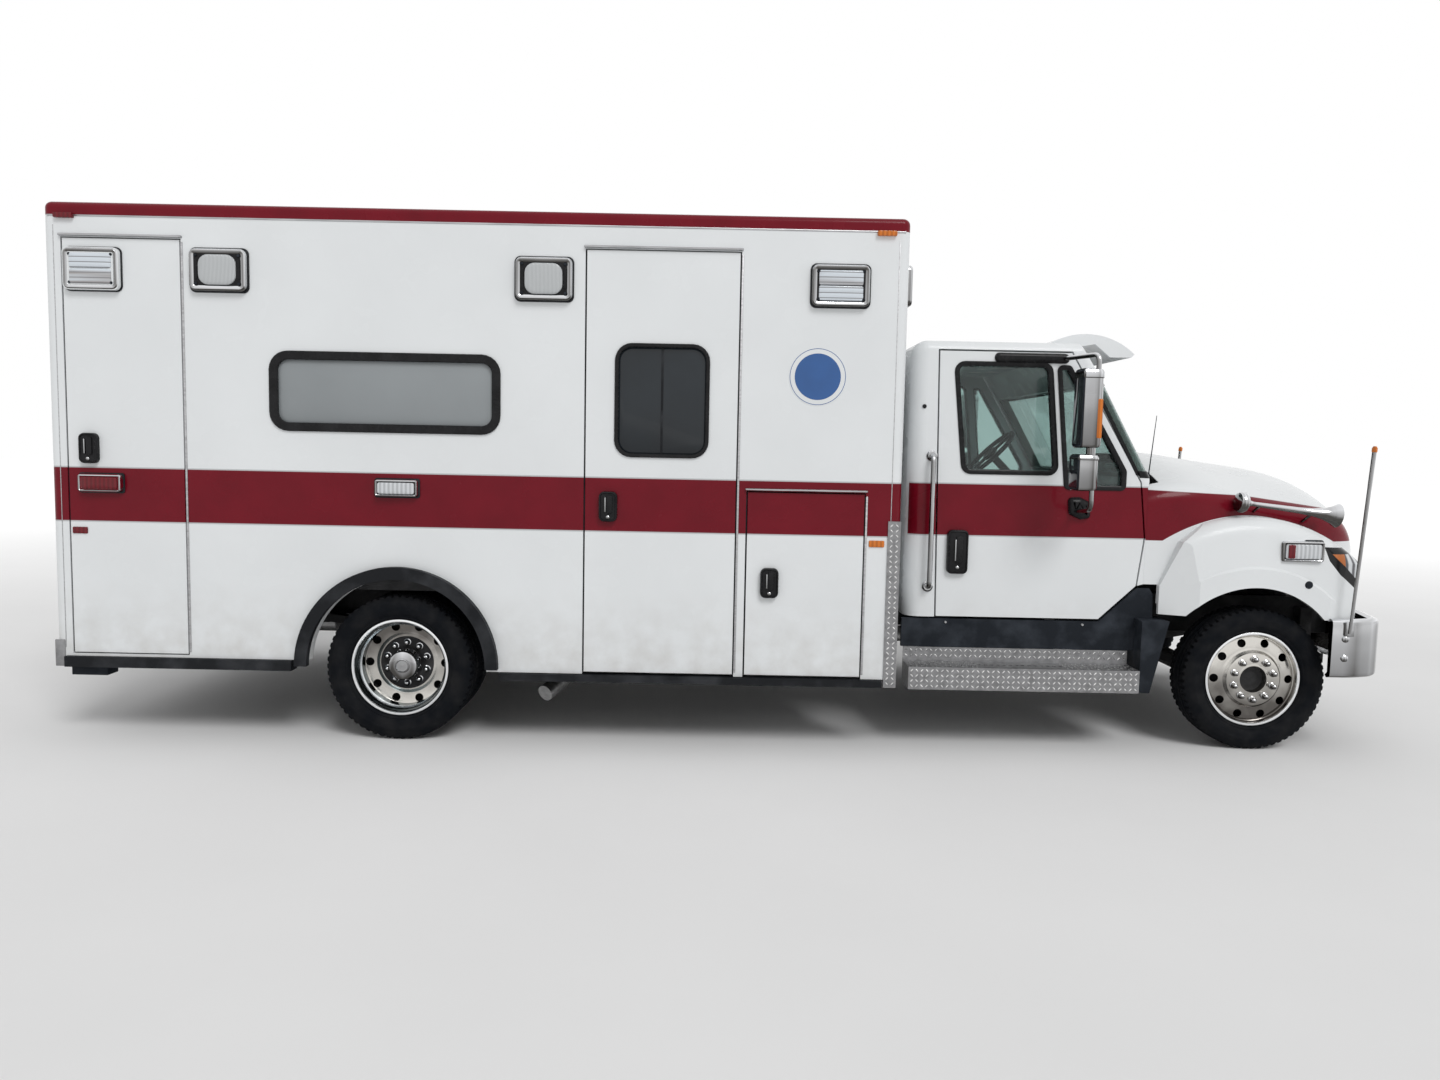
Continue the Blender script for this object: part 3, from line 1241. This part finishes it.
def mirror_head(rear_x, low_z, high_z, cap):
    """A chrome shell with a wider cap, and the dark glass in its gasket behind, as shapes by finish."""
    height = high_z - low_z
    top = height - cap
    profile = [(-0.050, 0.006), (-0.022, 0.001), (-0.006, 0.006), (-0.001, 0.018), (-0.001, top)]
    profile += [(0.003, top + 0.005), (0.003, height - 0.018), (-0.005, height - 0.005), (-0.024, height)]
    shell = on_plane(swept(mirror_plan(), profile), spot(rear_x, MIRROR_Y, low_z), *LEVEL)
    middle = spot(rear_x + 0.004, MIRROR_Y, (low_z + high_z) / 2)
    facing = ((0, -1, 0), (0, 0, 1), (-1, 0, 0))
    rim = [(0, 0), (0, 0.003), (-0.003, 0.0045), (-0.008, 0.0045)]
    gasket = swept(rounded_loop(0.148, height - 0.014, 0.02), rim)
    glass = pad(0.128, height - 0.034, 0.014, 0.0055, 0.001)
    placed = [on_plane(shape, middle, *facing) for shape in (gasket, glass)]
    return {"chrome": [shell], "plastic": placed[:1], "dark_glass": placed[1:]}


def cab_details(side):
    """Seals, handle, deflector and mirrors of one cab door, with the rail ends and screws beside it."""
    word = WORD[side]
    body = f"cab_door_{word}"

    def on_cab(shape):
        return on_side(shape, side, CAB_HALF)

    for outline, radius in ((DROP_GLASS, 0.045), (QUARTER_GLASS, 0.020)):
        seal = swept(corner_loop(outline, radius), SEAL, filled=False)
        add(f"window_seal_{body}", body, "gloss_black", on_cab(seal))
    add_handle(body, on_cab, 3.005, 1.064, 0.110, 0.236)
    bulge = [(0, 0), (-0.002, 0.012), (-0.010, 0.022), (-0.018, 0.025)]
    visor = swept(rounded_loop(0.398, 0.054, 0.026, 8), bulge)
    add(f"deflector_{body}", body, "gloss_black", on_cab(shifted(visor, 3.367, 2.119)))
    for head in MIRROR_HEADS:
        for finish, shapes in mirror_head(*head).items():
            add(f"mirror_{word}_{finish}", body, finish, *[for_side(shape, side) for shape in shapes])
    for route, radius in MIRROR_ARMS:
        arm = tube([spot(x, side * y, z) for x, y, z in route], radius)
        add(f"mirror_{word}_chrome", body, "chrome", arm)
    amber = shifted(pad(0.030, 0.200, 0.006, 0.014, 0.005), 3.617, 1.790)
    add(f"mirror_marker_{word}", body, "amber_lens", on_side(amber, side, 1.376))
    profile = [(0, 0), (0, 0.012), (-0.006, 0.026), (-0.018, 0.034), (-0.030, 0.036)]
    foot = swept(corner_loop(MIRROR_FOOT, 0.020), profile)
    profile = [(0.026, 0), (0.026, 0.010), (0.018, 0.018), (0.001, 0.018)]
    top_foot = knob(profile, 3.545, CAB_HALF, 2.118, side, 24)
    add(f"mirror_base_{word}", body, "gloss_black", on_cab(foot), top_foot)
    for z in (0.871, 1.584):
        rail_foot = [(0.030, 0), (0.030, 0.006), (0.022, 0.012), (0.001, 0.012)]
        fixed("rail_feet", "chrome", knob(rail_foot, 2.850, CAB_HALF, z, side, 24))
    for x in (2.960, 3.715):
        fixed("sill_screws", "chrome", knob([(0.009, 0), (0.006, 0.004)], x, 1.002, 0.672, side))
    fixed("sill_screws", "gloss_black", knob([(0.012, 0), (0.009, 0.006)], 2.800, CAB_HALF, 1.850, side))


# Directions up the windshield's face and out of it
GLASS_UP = Vector((-0.4828, 0, 0.8757))
GLASS_OUT = Vector((0.8757, 0, 0.4828))


def glass_front(z):
    """X of the windshield's front face at a height."""
    return GLASS_FOOT[0] - (z - GLASS_FOOT[1]) * GLASS_LEAN


def wrap_line(steps=8):
    """The windshield's outline from above: Y, distance behind its front, and the outward direction."""
    half = []
    for step in range(steps + 1):
        angle = math.pi / 2 * step / steps
        y = CAB_HALF - GLASS_CORNER * (1 - math.sin(angle))
        half.append((y, GLASS_CORNER * (1 - math.cos(angle)), math.sin(angle), math.cos(angle)))
    half.append((CAB_HALF, GLASS_LEG, 1.0, 0.0))
    return [(-y, back, -out_y, out_x) for y, back, out_y, out_x in reversed(half)] + half


def windshield_details():
    """The windshield's seal, the wipers, the cowl grille and the whip aerial."""
    middle = spot(3.9065, 0, 1.7515)
    for side in SIDES:
        rows = []
        for z in (1.500, 2.002):
            front = glass_front(z)
            strip = ((-0.012, 0.0), (-0.009, 0.004), (0.009, 0.004), (0.012, 0.0))
            rows.append([spot(front - GLASS_LEG + ahead, side * (CAB_HALF + out), z) for ahead, out in strip])
        fixed("windshield_seal", "gloss_black", grid(rows if side == RIGHT else rows[::-1]))
    for low_z, high_z in ((1.486, 1.524), (1.980, 2.006)):
        rows = []
        for y, back, out_y, out_x in wrap_line():
            edge = ((low_z, 0.0), (low_z + 0.004, 0.004), (high_z - 0.004, 0.004), (high_z, 0.0))
            rows.append([spot(glass_front(z) - back + out * out_x, y + out * out_y, z) for z, out in edge])
        fixed("windshield_seal", "gloss_black", grid(rows))
    for y in (0.52, -0.30):
        pivot = middle + Vector((0, y, 0)) - GLASS_UP * 0.30 + GLASS_OUT * 0.014
        elbow = middle + Vector((0, y - 0.22, 0)) - GLASS_UP * 0.235 + GLASS_OUT * 0.026
        tip = middle + Vector((0, y - 0.50, 0)) - GLASS_UP * 0.215 + GLASS_OUT * 0.018
        fixed("wipers", "plastic", tube([pivot, elbow, tip], (0.009, 0.006), 0.02, 8))
        blade = [elbow + Vector((0, 0.16, 0)) - GLASS_OUT * 0.006]
        blade.append(tip + Vector((0, -0.06, 0)) - GLASS_OUT * 0.004)
        fixed("wipers", "plastic", tube(blade, 0.007, 0.02, 8))
    fixed("cowl_grille", "plastic", beam(spot(4.030, -0.895, 1.436), spot(4.116, 0.895, 1.447), 0.004))
    for index in range(34):
        y = -0.85 + index * 0.0515
        fixed("cowl_grille", "plastic", beam(spot(4.042, y, 1.446), spot(4.106, y + 0.020, 1.453), 0.003))
    aerial_foot = spot(4.085, -0.865, 1.446)
    whip = tube([aerial_foot, spot(4.110, -0.885, 1.830)], (0.004, 0.0018), 0.02, 8)
    base = turned([(0.016, 0), (0.012, 0.020), (0.004, 0.034)], aerial_foot, LEVEL[2], 16)
    fixed("aerial", "plastic", whip, base)


# Front end

HORN_POSTS = ((4.640, 1.018, 1.345), (4.940, 1.006, 1.312))


def horn(side):
    """A chrome trumpet horn lying along the shoulder of the hood."""
    start = spot(4.520, side * 1.024, 1.368)
    way = spot(5.075, side * 1.004, 1.302) - start
    length = way.length
    profile = [(0.001, -0.010), (0.030, -0.008), (0.050, 0), (0.056, 0.012), (0.056, 0.030), (0.048, 0.044)]
    profile += [(0.030, 0.052), (0.020, 0.060), (0.013, 0.080), (0.0125, 0.10)]
    bell = ((0.017, 0.62), (0.022, 0.76), (0.032, 0.86), (0.047, 0.94), (0.062, 0.99), (0.065, 1.0))
    throat = ((0.062, 1.0), (0.045, 0.93), (0.026, 0.84), (0.001, 0.70))
    profile += [(radius, length * share) for radius, share in bell + throat]
    trumpet = turned(profile, start, way, 40, closed=False)
    add("horns", "hood", "chrome", trumpet)
    for x, y, z in HORN_POSTS:
        post = tube([spot(x, side * (y - 0.10), z - 0.05), spot(x, side * y, z)], 0.008, 0.02, 10)
        add("horns", "hood", "chrome", post)


def fender_details(side):
    """The marker lamp and the plug on one fender."""

    def put(shape):
        return on_side(shape, side, 1.092)

    place_lamp("fender_lamp", "hood", 4.842, 1.111, 0.226, 0.112, "clear", put)
    red = shifted(crowned(0.040, 0.076, 0.008, LAMP_DEPTH + 0.003, 0.008), 4.775, 1.111)
    add("fender_lamp_red", "hood", "red_lens", put(red))
    plug = [(0.021, 0), (0.021, 0.003), (0.015, 0.006), (0.001, 0.006)]
    add("fender_plugs", "hood", "plastic", knob(plug, 4.878, 1.129, 0.933, side, 20))


# The crown of the hood ahead of its rear edge: its highest point, its bend along X and its radius across
CROWN_PEAK = (4.255, 1.6316)
CROWN_BEND = 0.52
CROWN_ROUND = 2.70
# Half the width of the strip across the crown, and how far ahead of the peak its rows lie
STRIP_REACH = 0.560
STRIP_STEPS = (-0.082, -0.070, -0.040, 0.0, 0.040, 0.070, 0.082)


def crown_point(step, y, rise):
    """A point above the hood's crown, some way ahead of its peak."""
    across = CROWN_ROUND - math.sqrt(CROWN_ROUND ** 2 - y * y)
    return spot(CROWN_PEAK[0] + step, y, CROWN_PEAK[1] - CROWN_BEND * step * step - across + rise)


def hood_strip():
    """A thin strip of skin across the crown, whose borders sink into the hood."""
    ys = [STRIP_REACH, STRIP_REACH - 0.012] + [0.52 - 0.02 * index for index in range(53)]
    ys += [0.012 - STRIP_REACH, -STRIP_REACH]
    rows = []
    for step in STRIP_STEPS:
        row = []
        for y in ys:
            border = abs(step) == STRIP_STEPS[-1] or abs(y) == STRIP_REACH
            row.append(crown_point(step, y, -0.0012 if border else 0.0008))
        rows.append(row + [crown_point(step, y, -0.004) for y in reversed(ys)])
    points, faces = grid(rows, closed=True)
    add("hood_strip", "hood", "hood_paint", (points, faces + caps(len(rows), len(rows[0]))))


BUMPER_PLAN = ((4.999, 1.172), (5.120, 1.172), (5.300, 1.110), (5.390, 0.800), (5.428, 0.320))
BUMPER_Z = (0.434, 0.754)
# The marker rods: their Y, and X and Z of their feet and tops
ROD_Y = 1.186
ROD_FOOT = (5.082, 0.680)
ROD_TOP = (5.143, 1.650)


def block_beside(side, low, high, edge=0.003):
    """A block between two corners drawn for the left side."""
    (low_x, low_y, low_z), (high_x, high_y, high_z) = low, high
    near, far = sorted((side * low_y, side * high_y))
    return beam(spot(low_x, near, low_z), spot(high_x, far, high_z), edge)


def bumper():
    """A chrome bumper with rolled edges on black arms, with its bolts and marker rods."""
    half = [Vector((x, y, 0)) for x, y in BUMPER_PLAN]
    plan = eased(half + [Vector((point.x, -point.y, 0)) for point in reversed(half)], 0.10, 8)
    low, high = BUMPER_Z
    edge = ((-0.05, 0.012), (-0.035, 0.0), (-0.014, 0.004), (-0.003, 0.014), (0, 0.032))
    section = [(out, low + rise) for out, rise in edge] + [(out, high - rise) for out, rise in reversed(edge)]
    section += [(-0.034, high - 0.03), (-0.030, low + 0.03)]
    rows = []
    for index, place in enumerate(plan):
        ahead = plan[min(index + 1, len(plan) - 1)] - plan[max(index - 1, 0)]
        out = Vector((-ahead.y, ahead.x, 0)).normalized()
        rows.append([spot(place.x + out.x * away, place.y + out.y * away, z) for away, z in section])
    fixed("bumper", "chrome", grid(rows, closed=True))
    bolt = [(0.020, 0), (0.018, 0.006), (0.010, 0.011), (0.001, 0.012)]
    tip = [(0.011, 0), (0.014, 0.004), (0.014, 0.022), (0.008, 0.032), (0.001, 0.033)]
    for side in SIDES:
        fixed("bumper_arms", "frame", block_beside(side, (5.290, 0.362, 0.560), (5.400, 0.432, 0.740), 0.006))
        foot, top = [spot(x, side * ROD_Y, z) for x, z in (ROD_FOOT, ROD_TOP)]
        shapes = [knob(bolt, 5.070, 1.172, z, side, 20) for z in (0.650, 0.545)]
        shapes.append(on_side(shifted(pad(0.050, 0.080, 0.008, 0.014), 5.085, 0.705), side, 1.170))
        fixed("bumper", "chrome", *shapes, tube([foot, top], (0.008, 0.011), 0.02, 16))
        tip_foot = spot(ROD_TOP[0], side * ROD_Y, ROD_TOP[1] - 0.001)
        fixed("rod_tips", "amber_lens", turned(tip, tip_foot, (0.063, 0, 1), 16))


# Tread plate

# One raised bar: its points as a distance along it, a distance aside and a height, and its faces
BAR_POINTS = (
    (-0.0105, 0, 0), (-0.004, -0.003, 0), (0.004, -0.003, 0), (0.0105, 0, 0), (0.004, 0.003, 0),
    (-0.004, 0.003, 0), (-0.005, 0, 0.0018), (0.005, 0, 0.0018),
)
BAR_FACES = ((0, 1, 6), (1, 2, 7, 6), (2, 3, 7), (3, 4, 7), (4, 5, 6, 7), (5, 0, 6))
BAR_PITCH = 0.027
DIAGONAL = 0.7071


def bars(width, height):
    """Crossed raised bars over a rectangle, leaning one way and the other in turn."""
    points = []
    faces = []
    across = max(int(width / BAR_PITCH), 1)
    up = max(int(height / BAR_PITCH), 1)
    for row in range(up):
        for column in range(across):
            u = (column + 0.5 - across / 2) * width / across
            v = (row + 0.5 - up / 2) * height / up
            along = Vector((DIAGONAL, DIAGONAL if (row + column) % 2 else -DIAGONAL))
            aside = Vector((-along.y, along.x))
            start = len(points)
            for reach, half, lift in BAR_POINTS:
                place = along * reach + aside * half
                points.append((u + place.x, v + place.y, lift))
            faces += [tuple(start + index for index in face) for face in BAR_FACES]
    return points, faces


def tread_bars():
    """The raised pattern of the steps, the corner guards and the rear plates."""
    step_x = 3.3505
    for side in SIDES:
        shapes = [
            on_side(shifted(bars(1.23, 0.112), step_x, 0.396), side, 1.190),
            on_side(shifted(bars(0.058, 0.87), 2.6245, 0.792), side, MODULE_HALF + 0.008),
            on_side(shifted(bars(1.23, 0.060), step_x, 0.500), side, 1.002),
        ]
        top = spot(step_x, side * 1.100, 0.457)
        shapes += [on_plane(bars(0.38, 0.16), top + Vector((x, 0, 0)), *LEVEL) for x in (-0.42, 0.42)]
        fixed("tread_bars", "tread_bar", *shapes)
        corner = pad(0.054, 0.143, 0.004, 0.003, 0.001, 2)
        fixed("corner_plates", "tread_plate", on_side(shifted(corner, -1.786, 0.4485), side))
    fixed("tread_bars", "tread_bar", on_plane(bars(0.24, 1.76), spot(MODULE_REAR + 0.13, 0, 0.430), *LEVEL))


# Padding

# Rings of a cushion from its foot up: share of its outline and share of its height. The bulge is the piping.
CUSHION_RINGS = (
    (0.90, 0), (1, 0.12), (1.0, 0.46), (1.012, 0.50), (1.0, 0.54), (1.0, 0.70), (0.97, 0.84), (0.90, 0.93),
    (0.72, 0.985), (0.40, 1.0),
)
SEAT_Y = 0.480
BACK_LEAN = math.radians(-10)


def cushion(low, high):
    """A stuffed pad between two corners, with a crowned top and piping round its seam."""
    low, high = Vector(low), Vector(high)
    size = high - low
    middle = (low + high) / 2
    loop = rounded_loop(size.x, size.y, min(0.05, size.x / 3, size.y / 3))
    points = []
    for scale, lift in CUSHION_RINGS:
        z = size.z * lift - size.z / 2
        points += [middle + Vector((u * scale, v * scale, z)) for u, v, _, _ in loop]
    bottom, top = caps(len(CUSHION_RINGS), len(loop))
    return points, [bottom] + ring_faces(len(CUSHION_RINGS), len(loop)) + [top]


def upright(low, high):
    """A backrest pad that leans back, its crowned face forward."""
    size = high - low
    points, faces = cushion((0, 0, 0), (size.z, size.y, size.x))
    lean = Matrix.Rotation(BACK_LEAN, 3, "Y")
    middle = (low + high) / 2
    placed = [middle + lean @ Vector((h - size.x / 2, v - size.y / 2, size.z / 2 - u)) for u, v, h in points]
    return placed, faces


def seats_and_benches():
    """Two seats in the cab and the bench pads in the module."""
    for side in SIDES:
        y = side * SEAT_Y
        for low_y, high_y, back in ((-0.17, 0.17, 0.0), (-0.25, -0.165, -0.004), (0.165, 0.25, -0.004)):
            seat = cushion(spot(2.935, y + low_y, 1.095), spot(3.400 + back, y + high_y, 1.222))
            rest = upright(spot(2.930, y + low_y, 1.225), spot(3.030, y + high_y, 1.820))
            fixed("seats", "seat_cloth", seat, rest)
        fixed("seats", "seat_cloth", upright(spot(2.862, y - 0.125, 1.830), spot(2.945, y + 0.125, 1.985)))
        fixed("seat_bases", "plastic", beam(spot(2.95, y - 0.20, 0.850), spot(3.35, y + 0.20, 1.093), 0.01))
    wall = MODULE_HALF - 0.060
    for start in (-1.058, -0.404, 0.250):
        seat = cushion(spot(start, -wall + 0.072, 1.300), spot(start + 0.646, -0.642, 1.378))
        points, faces = cushion((0, 0, 0), (0.646, 0.30, 0.058))
        placed = [spot(start, -wall + 0.001, 1.325) + Vector((u, h, v)) for u, v, h in points]
        fixed("bench_pads", "vinyl", seat, (placed, [tuple(reversed(face)) for face in faces]))


REAR_DOOR_HALF = 0.640
REAR_DOOR_TOP = 2.520
REAR_HINGES = (0.66, 1.28, 1.90, 2.40)
PLATE_PLACE = (0.900, 0.622)


def rear_wall():
    """Hinges, seals, drip rail and blank number plate at the rear, and the brackets under the corners."""
    strip = rounded_loop(2 * REAR_DOOR_HALF + 0.04, 0.014, 0.003, 2)
    drip = swept(strip, [(0, 0), (0, 0.016), (-0.003, 0.020)])
    fixed("drip_rails", "trim", on_rear(shifted(drip, 0, REAR_DOOR_TOP + 0.018), LEFT))
    seal = pad(2 * REAR_DOOR_HALF, 0.006, 0.002, 0.002, 0.001, 1)
    fixed("door_seals", "rubber", on_rear(shifted(seal, 0, REAR_DOOR_TOP + 0.005), LEFT))
    leaf = pad(0.034, 0.100, 0.004, 0.003, 0.001, 2)
    for side in SIDES:
        for z in REAR_HINGES:
            fixed("rear_hinges", "trim", on_rear(shifted(leaf, REAR_DOOR_HALF + 0.035, z), side))
            for rise in (-0.033, 0.0, 0.033):
                foot = (REAR_DOOR_HALF + 0.037, z + rise, 0.003)
                screw = turned([(0.005, 0), (0.003, 0.002)], foot, LEVEL[2], 10)
                fixed("rear_hinges", "chrome", on_rear(screw, side))
        fixed("skirt_brackets", "plastic", block_beside(side, (-1.742, 1.10, 0.326), (-1.549, 1.20, 0.378)))
        rear_pad = shifted(pad(0.045, 0.300, 0.010, 0.030, 0.008), 1.120, 0.620)
        fixed("rear_pads", "rubber", on_rear(rear_pad, side))
    y, z = PLATE_PLACE
    fixed("plate_frame", "plastic", on_rear(shifted(pad(0.325, 0.172, 0.012, 0.006), y, z), LEFT))
    blank = shifted(pad(0.305, 0.152, 0.010, 0.002, 0.001), y, z, 0.006)
    fixed("plate_blank", "plain_paint", on_rear(blank, LEFT))
    for u in (-0.089, 0.089):
        bolt = turned([(0.008, 0), (0.005, 0.004)], (y + u, 0.680, 0.008), LEVEL[2], 12)
        fixed("plate_bolts", "chrome", on_rear(bolt, LEFT))


FAN_HUB = (5.010, 0, 0.98)
HOSE = ((4.950, 0.20, 1.180), (5.020, 0.24, 1.215), (5.085, 0.30, 1.215))


def engine_details():
    """Radiator fins, fan, hoses and manifolds seen under the open hood."""
    for index in range(38):
        y = -0.385 + index * 0.0208
        fixed("radiator_fins", "steel", beam(spot(5.150, y, 0.80), spot(5.154, y + 0.012, 1.28), 0.002))
    hub = spot(*FAN_HUB)
    for angle in turns(8):
        out = Vector((0, math.sin(angle), math.cos(angle)))
        twist = Vector((0, math.cos(angle), -math.sin(angle))) * 0.035 + Vector((0.012, 0, 0))
        middles = [hub + out * reach for reach in (0.05, 0.15, 0.27)]
        fixed("fan", "plastic", grid([[middle - twist, middle, middle + twist] for middle in middles]))
    drum = [(0.05, -0.03), (0.07, -0.02), (0.07, 0.02), (0.05, 0.03)]
    fixed("fan", "plastic", turned(drum, hub, LEVEL[0], 24))
    for side in SIDES:
        for index in range(6):
            x = 4.25 + index * 0.125
            port = [spot(x, side * y, z) for y, z in ((0.300, 1.150), (0.350, 1.150), (0.362, 1.100))]
            fixed("manifolds", "cast", tube(port, 0.028, 0.03, 12))
        log = [spot(x, side * 0.365, 1.090) for x in (4.18, 4.93)]
        fixed("manifolds", "cast", tube(log, 0.040, 0.02, 16))
        hose = [spot(x, side * y, z) for x, y, z in HOSE]
        fixed("hoses", "rubber", tube(hose, 0.024, 0.05, 14))
    for y in (-0.19, 0.19):
        cover = pad(0.70, 0.15, 0.03, 0.009, 0.006)
        fixed("engine_covers", "cast", on_plane(cover, spot(4.565, y, 1.290), *LEVEL))
        for index in range(6):
            place = spot(4.27 + index * 0.118, y, 1.290)
            fixed("engine_caps", "chrome", turned([(0.010, 0), (0.008, 0.0095)], place, LEVEL[2], 12))


# Directions across, up and out of the cabinets' faces, the ceiling and the instrument cluster
CABINET_AXES = ((1, 0, 0), (0, 0, 1), (0, -1, 0))
CEILING_AXES = ((1, 0, 0), (0, 1, 0), (0, 0, -1))
CLUSTER_AXES = ((0, 1, 0), (0.314, 0, 0.949), (-0.949, 0, 0.314))


def interior_details():
    """Cabinet doors with their pulls in the module, the ceiling lamps, and the cab's instrument cluster."""
    cabinet = spot(0, 0.739, 0)
    pull = pad(0.110, 0.022, 0.006, 0.018, 0.005)
    for low_z, high_z, pull_z in ((0.930, 1.390, 1.330), (1.790, 2.570, 1.850)):
        door = pad(0.552, high_z - low_z, 0.010, 0.014, 0.004)
        for index in range(5):
            x = -1.060 + 0.284 + index * 0.568
            front = shifted(door, x, (low_z + high_z) / 2)
            fixed("cabinet_doors", "laminate", on_plane(front, cabinet, *CABINET_AXES))
            handle = shifted(pull, x, pull_z, 0.012)
            fixed("cabinet_pulls", "chrome", on_plane(handle, cabinet, *CABINET_AXES))
    for x in (-1.2, -0.2, 0.8, 1.8):
        lamp = pad(0.50, 0.16, 0.03, 0.020, 0.008)
        fixed("ceiling_lamps", "frosted_lens", on_plane(lamp, spot(x, 0, MODULE_TOP - 0.070), *CEILING_AXES))
    hood = pad(0.42, 0.130, 0.040, 0.045, 0.014)
    fixed("cluster", "plastic", on_plane(hood, spot(3.700, 0.480, 1.385), *CLUSTER_AXES))
    for y in (0.39, 0.57):
        dial = turned([(0.046, 0.040), (0.046, 0.049), (0.040, 0.050)], (0, 0, 0), LEVEL[2], 28)
        fixed("dials", "gloss_black", on_plane(dial, spot(3.700, y, 1.385), *CLUSTER_AXES))
    for y in (-0.70, -0.48, 0.06, 0.80):
        for row in range(5):
            z = 1.262 + row * 0.014
            slat = beam(spot(3.682, y - 0.055, z), spot(3.692, y + 0.055, z + 0.006), 0.002)
            fixed("dash_vents", "gloss_black", slat)


def gather_all():
    """Build every gathered piece."""
    pieces = {}
    for (name, body, finish), shapes in GATHERED.items():
        pieces[name] = build(name, body, finish, shapes)
    return pieces


# Floor and light

FLOOR_COLOR = (0.80, 0.80, 0.80)
FLOOR_REACH = 60.0
# The floor turns into the white of the backdrop between these distances from the origin
FLOOR_FADE = (6.5, 19.0)
SURROUND_STRENGTH = 0.58
SUN_STRENGTH = 1.35
SUN_SPREAD = math.radians(24)
SUN_TURN = (math.radians(44), 0, math.radians(26))


def make_floor():
    """A pale floor that fades into the white backdrop."""
    mesh = bpy.data.meshes.new("floor")
    corners = [(u * FLOOR_REACH, v * FLOOR_REACH, 0) for u, v in ((-1, -1), (1, -1), (1, 1), (-1, 1))]
    mesh.from_pydata(corners, [], [(0, 1, 2, 3)])
    floor = bpy.data.objects.new("floor", mesh)
    bpy.context.scene.collection.objects.link(floor)
    ground = Shader("floor", FLOOR_COLOR, 0.9, emission_color=(1.0, 1.0, 1.0, 1.0))
    far = ground.spread(ground.vectors("LENGTH", ground.position)["Value"], *FLOOR_FADE)
    ground.color(ground.blend(far, ground.varied(FLOOR_COLOR, 0.8, 0.015), (0.0, 0.0, 0.0)))
    ground.tree.links.new(far, ground.surface.inputs["Emission Strength"])
    mesh.materials.append(ground.material)


def make_light():
    """A soft white surround, a white backdrop for the camera and for reflections, and one broad sun."""
    world = bpy.data.worlds.new("world")
    bpy.context.scene.world = world
    world.use_nodes = True
    tree = world.node_tree
    surround = tree.nodes["Background"]
    backdrop = tree.nodes.new("ShaderNodeBackground")
    for light, strength in ((surround, SURROUND_STRENGTH), (backdrop, 1.0)):
        light.inputs["Color"].default_value = (1, 1, 1, 1)
        light.inputs["Strength"].default_value = strength
    rays = tree.nodes.new("ShaderNodeLightPath").outputs
    shown = rays["Is Camera Ray"]
    for kind in ("Is Glossy Ray", "Is Transmission Ray"):
        either = tree.nodes.new("ShaderNodeMath")
        either.operation = "MAXIMUM"
        tree.links.new(shown, either.inputs[0])
        tree.links.new(rays[kind], either.inputs[1])
        shown = either.outputs[0]
    mix = tree.nodes.new("ShaderNodeMixShader")
    for index, socket in enumerate((shown, surround.outputs[0], backdrop.outputs[0])):
        tree.links.new(socket, mix.inputs[index])
    tree.links.new(mix.outputs[0], tree.nodes["World Output"].inputs["Surface"])
    sun = bpy.data.lights.new("key", "SUN")
    sun.energy = SUN_STRENGTH
    sun.angle = SUN_SPREAD
    lamp = bpy.data.objects.new("key", sun)
    lamp.rotation_euler = SUN_TURN
    bpy.context.scene.collection.objects.link(lamp)


make_camera()
make_floor()
make_light()
module_lamps()
markers()
module_doors()
module_seams()
windows()
badges()
windshield_details()
hood_strip()
bumper()
tread_bars()
seats_and_benches()
rear_wall()
engine_details()
interior_details()
for side in SIDES:
    front_wheel(side)
    rear_wheels(side)
    cab_details(side)
    horn(side)
    fender_details(side)
pieces = gather_all()
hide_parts("cab_seats")
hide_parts("bench_cushion")
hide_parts("module_lamps")
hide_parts("air_horns")
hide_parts("bumper")
for word in WORD.values():
    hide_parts(f"front_wheel_{word}")
    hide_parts(f"front_tyre_{word}")
    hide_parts(f"rear_wheels_{word}")
    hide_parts(f"rear_tyres_{word}")
    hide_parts(f"door_mirror_{word}")

bpy.context.scene.view_settings.view_transform = "Standard"
